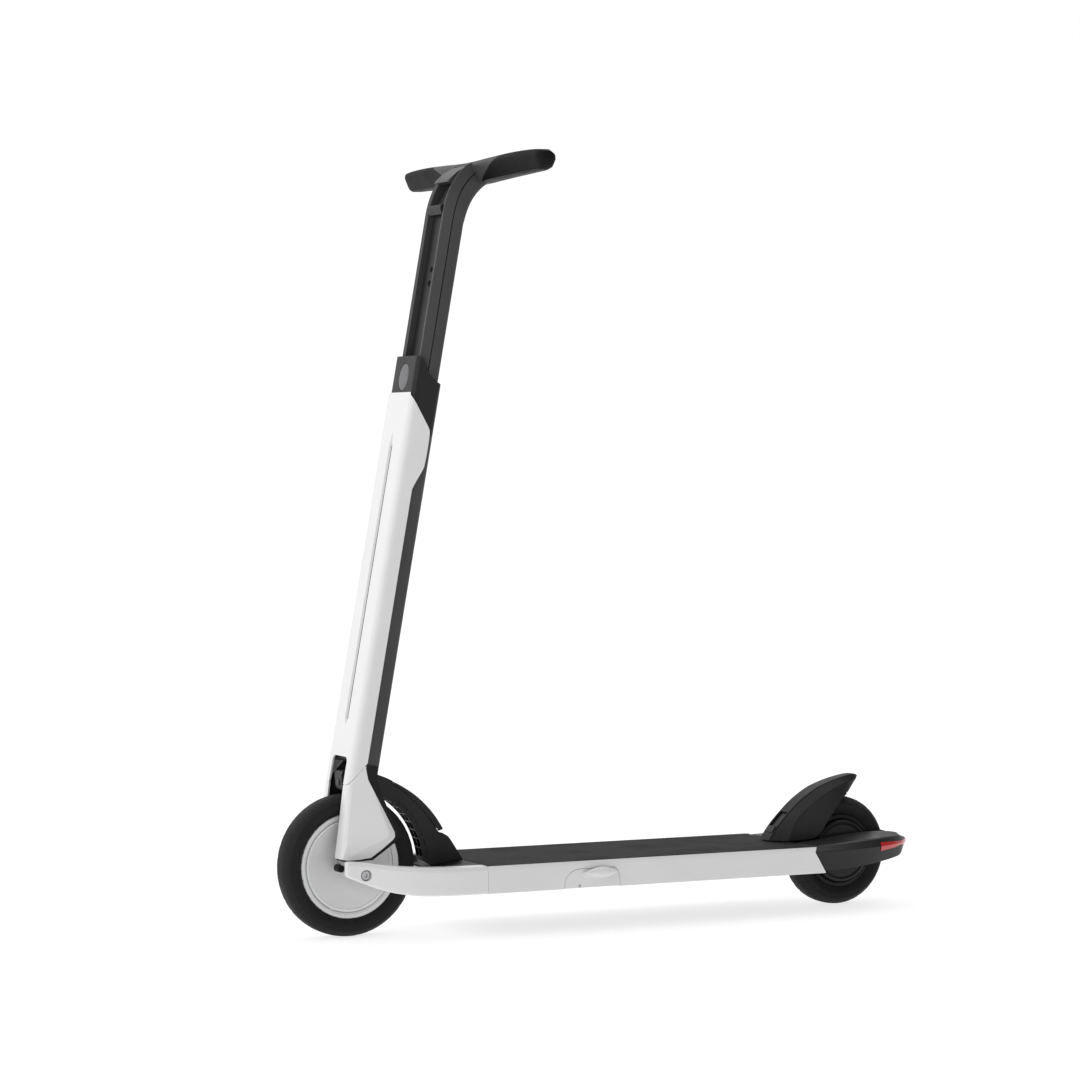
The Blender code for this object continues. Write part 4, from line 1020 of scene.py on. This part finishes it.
def panel_profile(top, crease, low, inward):
    """Side panels: upper and lower facet, meeting at the crease."""
    inset = top + inward * 3.0
    return (at_middle(inset), inset + WIDE * 0.2, top + inward * 0.8 + WIDE * 1.3, crease - WIDE * 0.6,
            crease + inward * 1.2, low, at_middle(low))


def cap_profile(top, crease, low, inward):
    """The narrow cap between the panels."""
    inset = top + inward * 4.0
    return (at_middle(top), top - WIDE * 1.6, top + inward * 0.7 - WIDE * 0.2, inset - WIDE * 0.2,
            at_middle(inset))


def fender():
    """Pointed fin: a dark cap between bevelled side panels, with a recess and a lip at its foot."""
    fin = solid(loft(fin_rings(panel_profile)))
    cut(fin, disc((REAR.x, REAR.z), 83.5, -21.7, 21.7, segments=128))
    stand_in("rear_fender", fin, "dark_shell", bevel=0.3, sharp=9.0)
    cap = solid(loft(fin_rings(cap_profile)))
    recess, lip = [prism([(back(b), z) for b, z in outline], -9.5, 9.5) for outline in (
        ((649.0, 118.0), (660.0, 113.0), (676.0, 132.0), (668.0, 139.0)),
        ((647.4, 107.6), (652.6, 115.6), (656.0, 114.0), (652.0, 106.0)),
    )]
    cut(cap, recess)
    finish("fender_cap", cap, "black_plastic", "rear_brake", bevel=0.3, sharp=12.0)
    finish("fender_lip", lip, "dark_shell", "rear_brake", bevel=0.4)


def fender_hinge():
    """Pin and bracket, short enough to stay inside the fin."""
    pin = middle("fender_pin")
    place, half, ear = (pin.x, pin.z), 16.0, 3.0
    stand_in("fender_pin", disc(place, 2.9, -18.0, 18.0), "dark_steel", bevel=0.3)
    plate = solid(block((pin.x - 8.0, pin.x + 4.0), (-half, half), (DECK_TOP - 1.0, DECK_TOP + 0.8)))
    for low in (-half, half - ear):
        fuse(plate, disc(place, 4.5, low, low + ear))
    stand_in("fender_bracket", plate, "black_plastic", bevel=0.2)


# ---------------------------------------------------------------- build


def build():
    front_wheel()
    front_bearing()
    knuckle()
    rear_wheel()
    stem_cover()
    for side, word in SIDES:
        fork_cover(side, word)
        fork_leg(side, word)
        arm(side, word)
        tail_shell(side, word)
    collar()
    handlebar()
    controls()
    fold_arc()
    fold_pedal()
    kickstand()
    simple_nodes()
    deck_mat()
    fender()
    fender_hinge()
    tail_lens()


build()

for node, item in frame["nodes"].items():
    item.data.materials.clear()
    item.data.materials.append(LOOKS[SLOT_OF[node]])

# ---------------------------------------------------------------- stage, light and camera


FLOOR_REACH = 40.0
FLOOR_HEIGHT = -0.0002


def stage():
    """Plain pale floor that glows a little, so that the ground stays even."""
    corners = [(x, y, FLOOR_HEIGHT) for x, y in (
        (-FLOOR_REACH, -FLOOR_REACH), (FLOOR_REACH, -FLOOR_REACH), (FLOOR_REACH, FLOOR_REACH),
        (-FLOOR_REACH, FLOOR_REACH))]
    data = bpy.data.meshes.new("floor")
    data.from_pydata(corners, [], [(0, 1, 2, 3)])
    floor = bpy.data.objects.new("floor", data)
    bpy.context.scene.collection.objects.link(floor)
    graph = Graph("floor_paint")
    tone = graph.blend(graph.spread(graph.noise(3.0), 0.0, 1.0), (0.34, 0.34, 0.34), (0.36, 0.36, 0.36))
    graph.link(tone, graph.shader.inputs["Base Color"])
    graph.shader.inputs["Emission Color"].default_value = (1.0, 1.0, 1.0, 1.0)
    graph.shader.inputs["Emission Strength"].default_value = 0.75
    graph.shader.inputs["Roughness"].default_value = 0.9
    graph.shader.inputs["Specular IOR Level"].default_value = 0.1
    data.materials.append(graph.material)


def sky():
    """Even studio light, brighter from above and behind the object than from the viewer's side."""
    world = bpy.data.worlds.new("studio")
    bpy.context.scene.world = world
    world.use_nodes = True
    tree = world.node_tree
    place = tree.nodes.new("ShaderNodeTexCoord")
    parts = tree.nodes.new("ShaderNodeSeparateXYZ")
    tree.links.new(place.outputs["Generated"], parts.inputs[0])

    def ramp(socket, start, stop, low, high):
        made = tree.nodes.new("ShaderNodeMapRange")
        made.interpolation_type = "SMOOTHSTEP"
        for name, number in (("From Min", start), ("From Max", stop), ("To Min", low), ("To Max", high)):
            made.inputs[name].default_value = number
        tree.links.new(socket, made.inputs["Value"])
        return made.outputs["Result"]

    def join(first, second, operation="ADD"):
        made = tree.nodes.new("ShaderNodeMath")
        made.operation = operation
        tree.links.new(first, made.inputs[0])
        tree.links.new(second, made.inputs[1])
        return made.outputs[0]

    side = ramp(parts.outputs["Y"], -0.35, 0.5, 1.04, 0.1)
    above = ramp(parts.outputs["Z"], 0.25, 0.9, 0.0, 0.42)
    ahead = ramp(parts.outputs["X"], 0.1, 0.9, 0.0, 0.3)
    behind = ramp(parts.outputs["X"], -0.95, -0.5, -0.5, 0.0)
    horizon = ramp(parts.outputs["Z"], 0.1, 0.22, 1.04, 0.0)
    total = join(side, join(join(ahead, behind), above))
    background = tree.nodes["Background"]
    tree.links.new(join(total, horizon, "MAXIMUM"), background.inputs["Strength"])
    background.inputs["Color"].default_value = (1.0, 1.0, 1.0, 1.0)


def lamp(name, place, target, size, power):
    data = bpy.data.lights.new(name, "AREA")
    data.shape = "RECTANGLE"
    data.size, data.size_y = size
    data.energy = power
    item = bpy.data.objects.new(name, data)
    item.location = place
    item.rotation_mode = "QUATERNION"
    item.rotation_quaternion = (Vector(target) - Vector(place)).to_track_quat("-Z", "Y")
    bpy.context.scene.collection.objects.link(item)


# the photograph's view: a camera 1.73 m ahead of the front hub, 4.13 m to the left and 0.64 m up
CAMERA_PLACE = (FRONT.x * MM + 1.727147, 4.131219, 0.639579)
CAMERA_AIM = Vector((-0.43823, -0.89851, -0.02508))
CAMERA_LENS = 112.208


def camera():
    data = bpy.data.cameras.new("camera")
    data.sensor_width = 36.0
    data.lens = CAMERA_LENS
    item = bpy.data.objects.new("camera", data)
    item.location = CAMERA_PLACE
    item.rotation_mode = "QUATERNION"
    item.rotation_quaternion = CAMERA_AIM.to_track_quat("-Z", "Y")
    bpy.context.scene.collection.objects.link(item)
    bpy.context.scene.camera = item


stage()
sky()
lamp("key", place=(3.0, 1.3, 1.7), target=(0.0, 0.0, 0.5), size=(1.2, 1.2), power=17.0)
camera()
bpy.context.scene.view_settings.view_transform = "Standard"
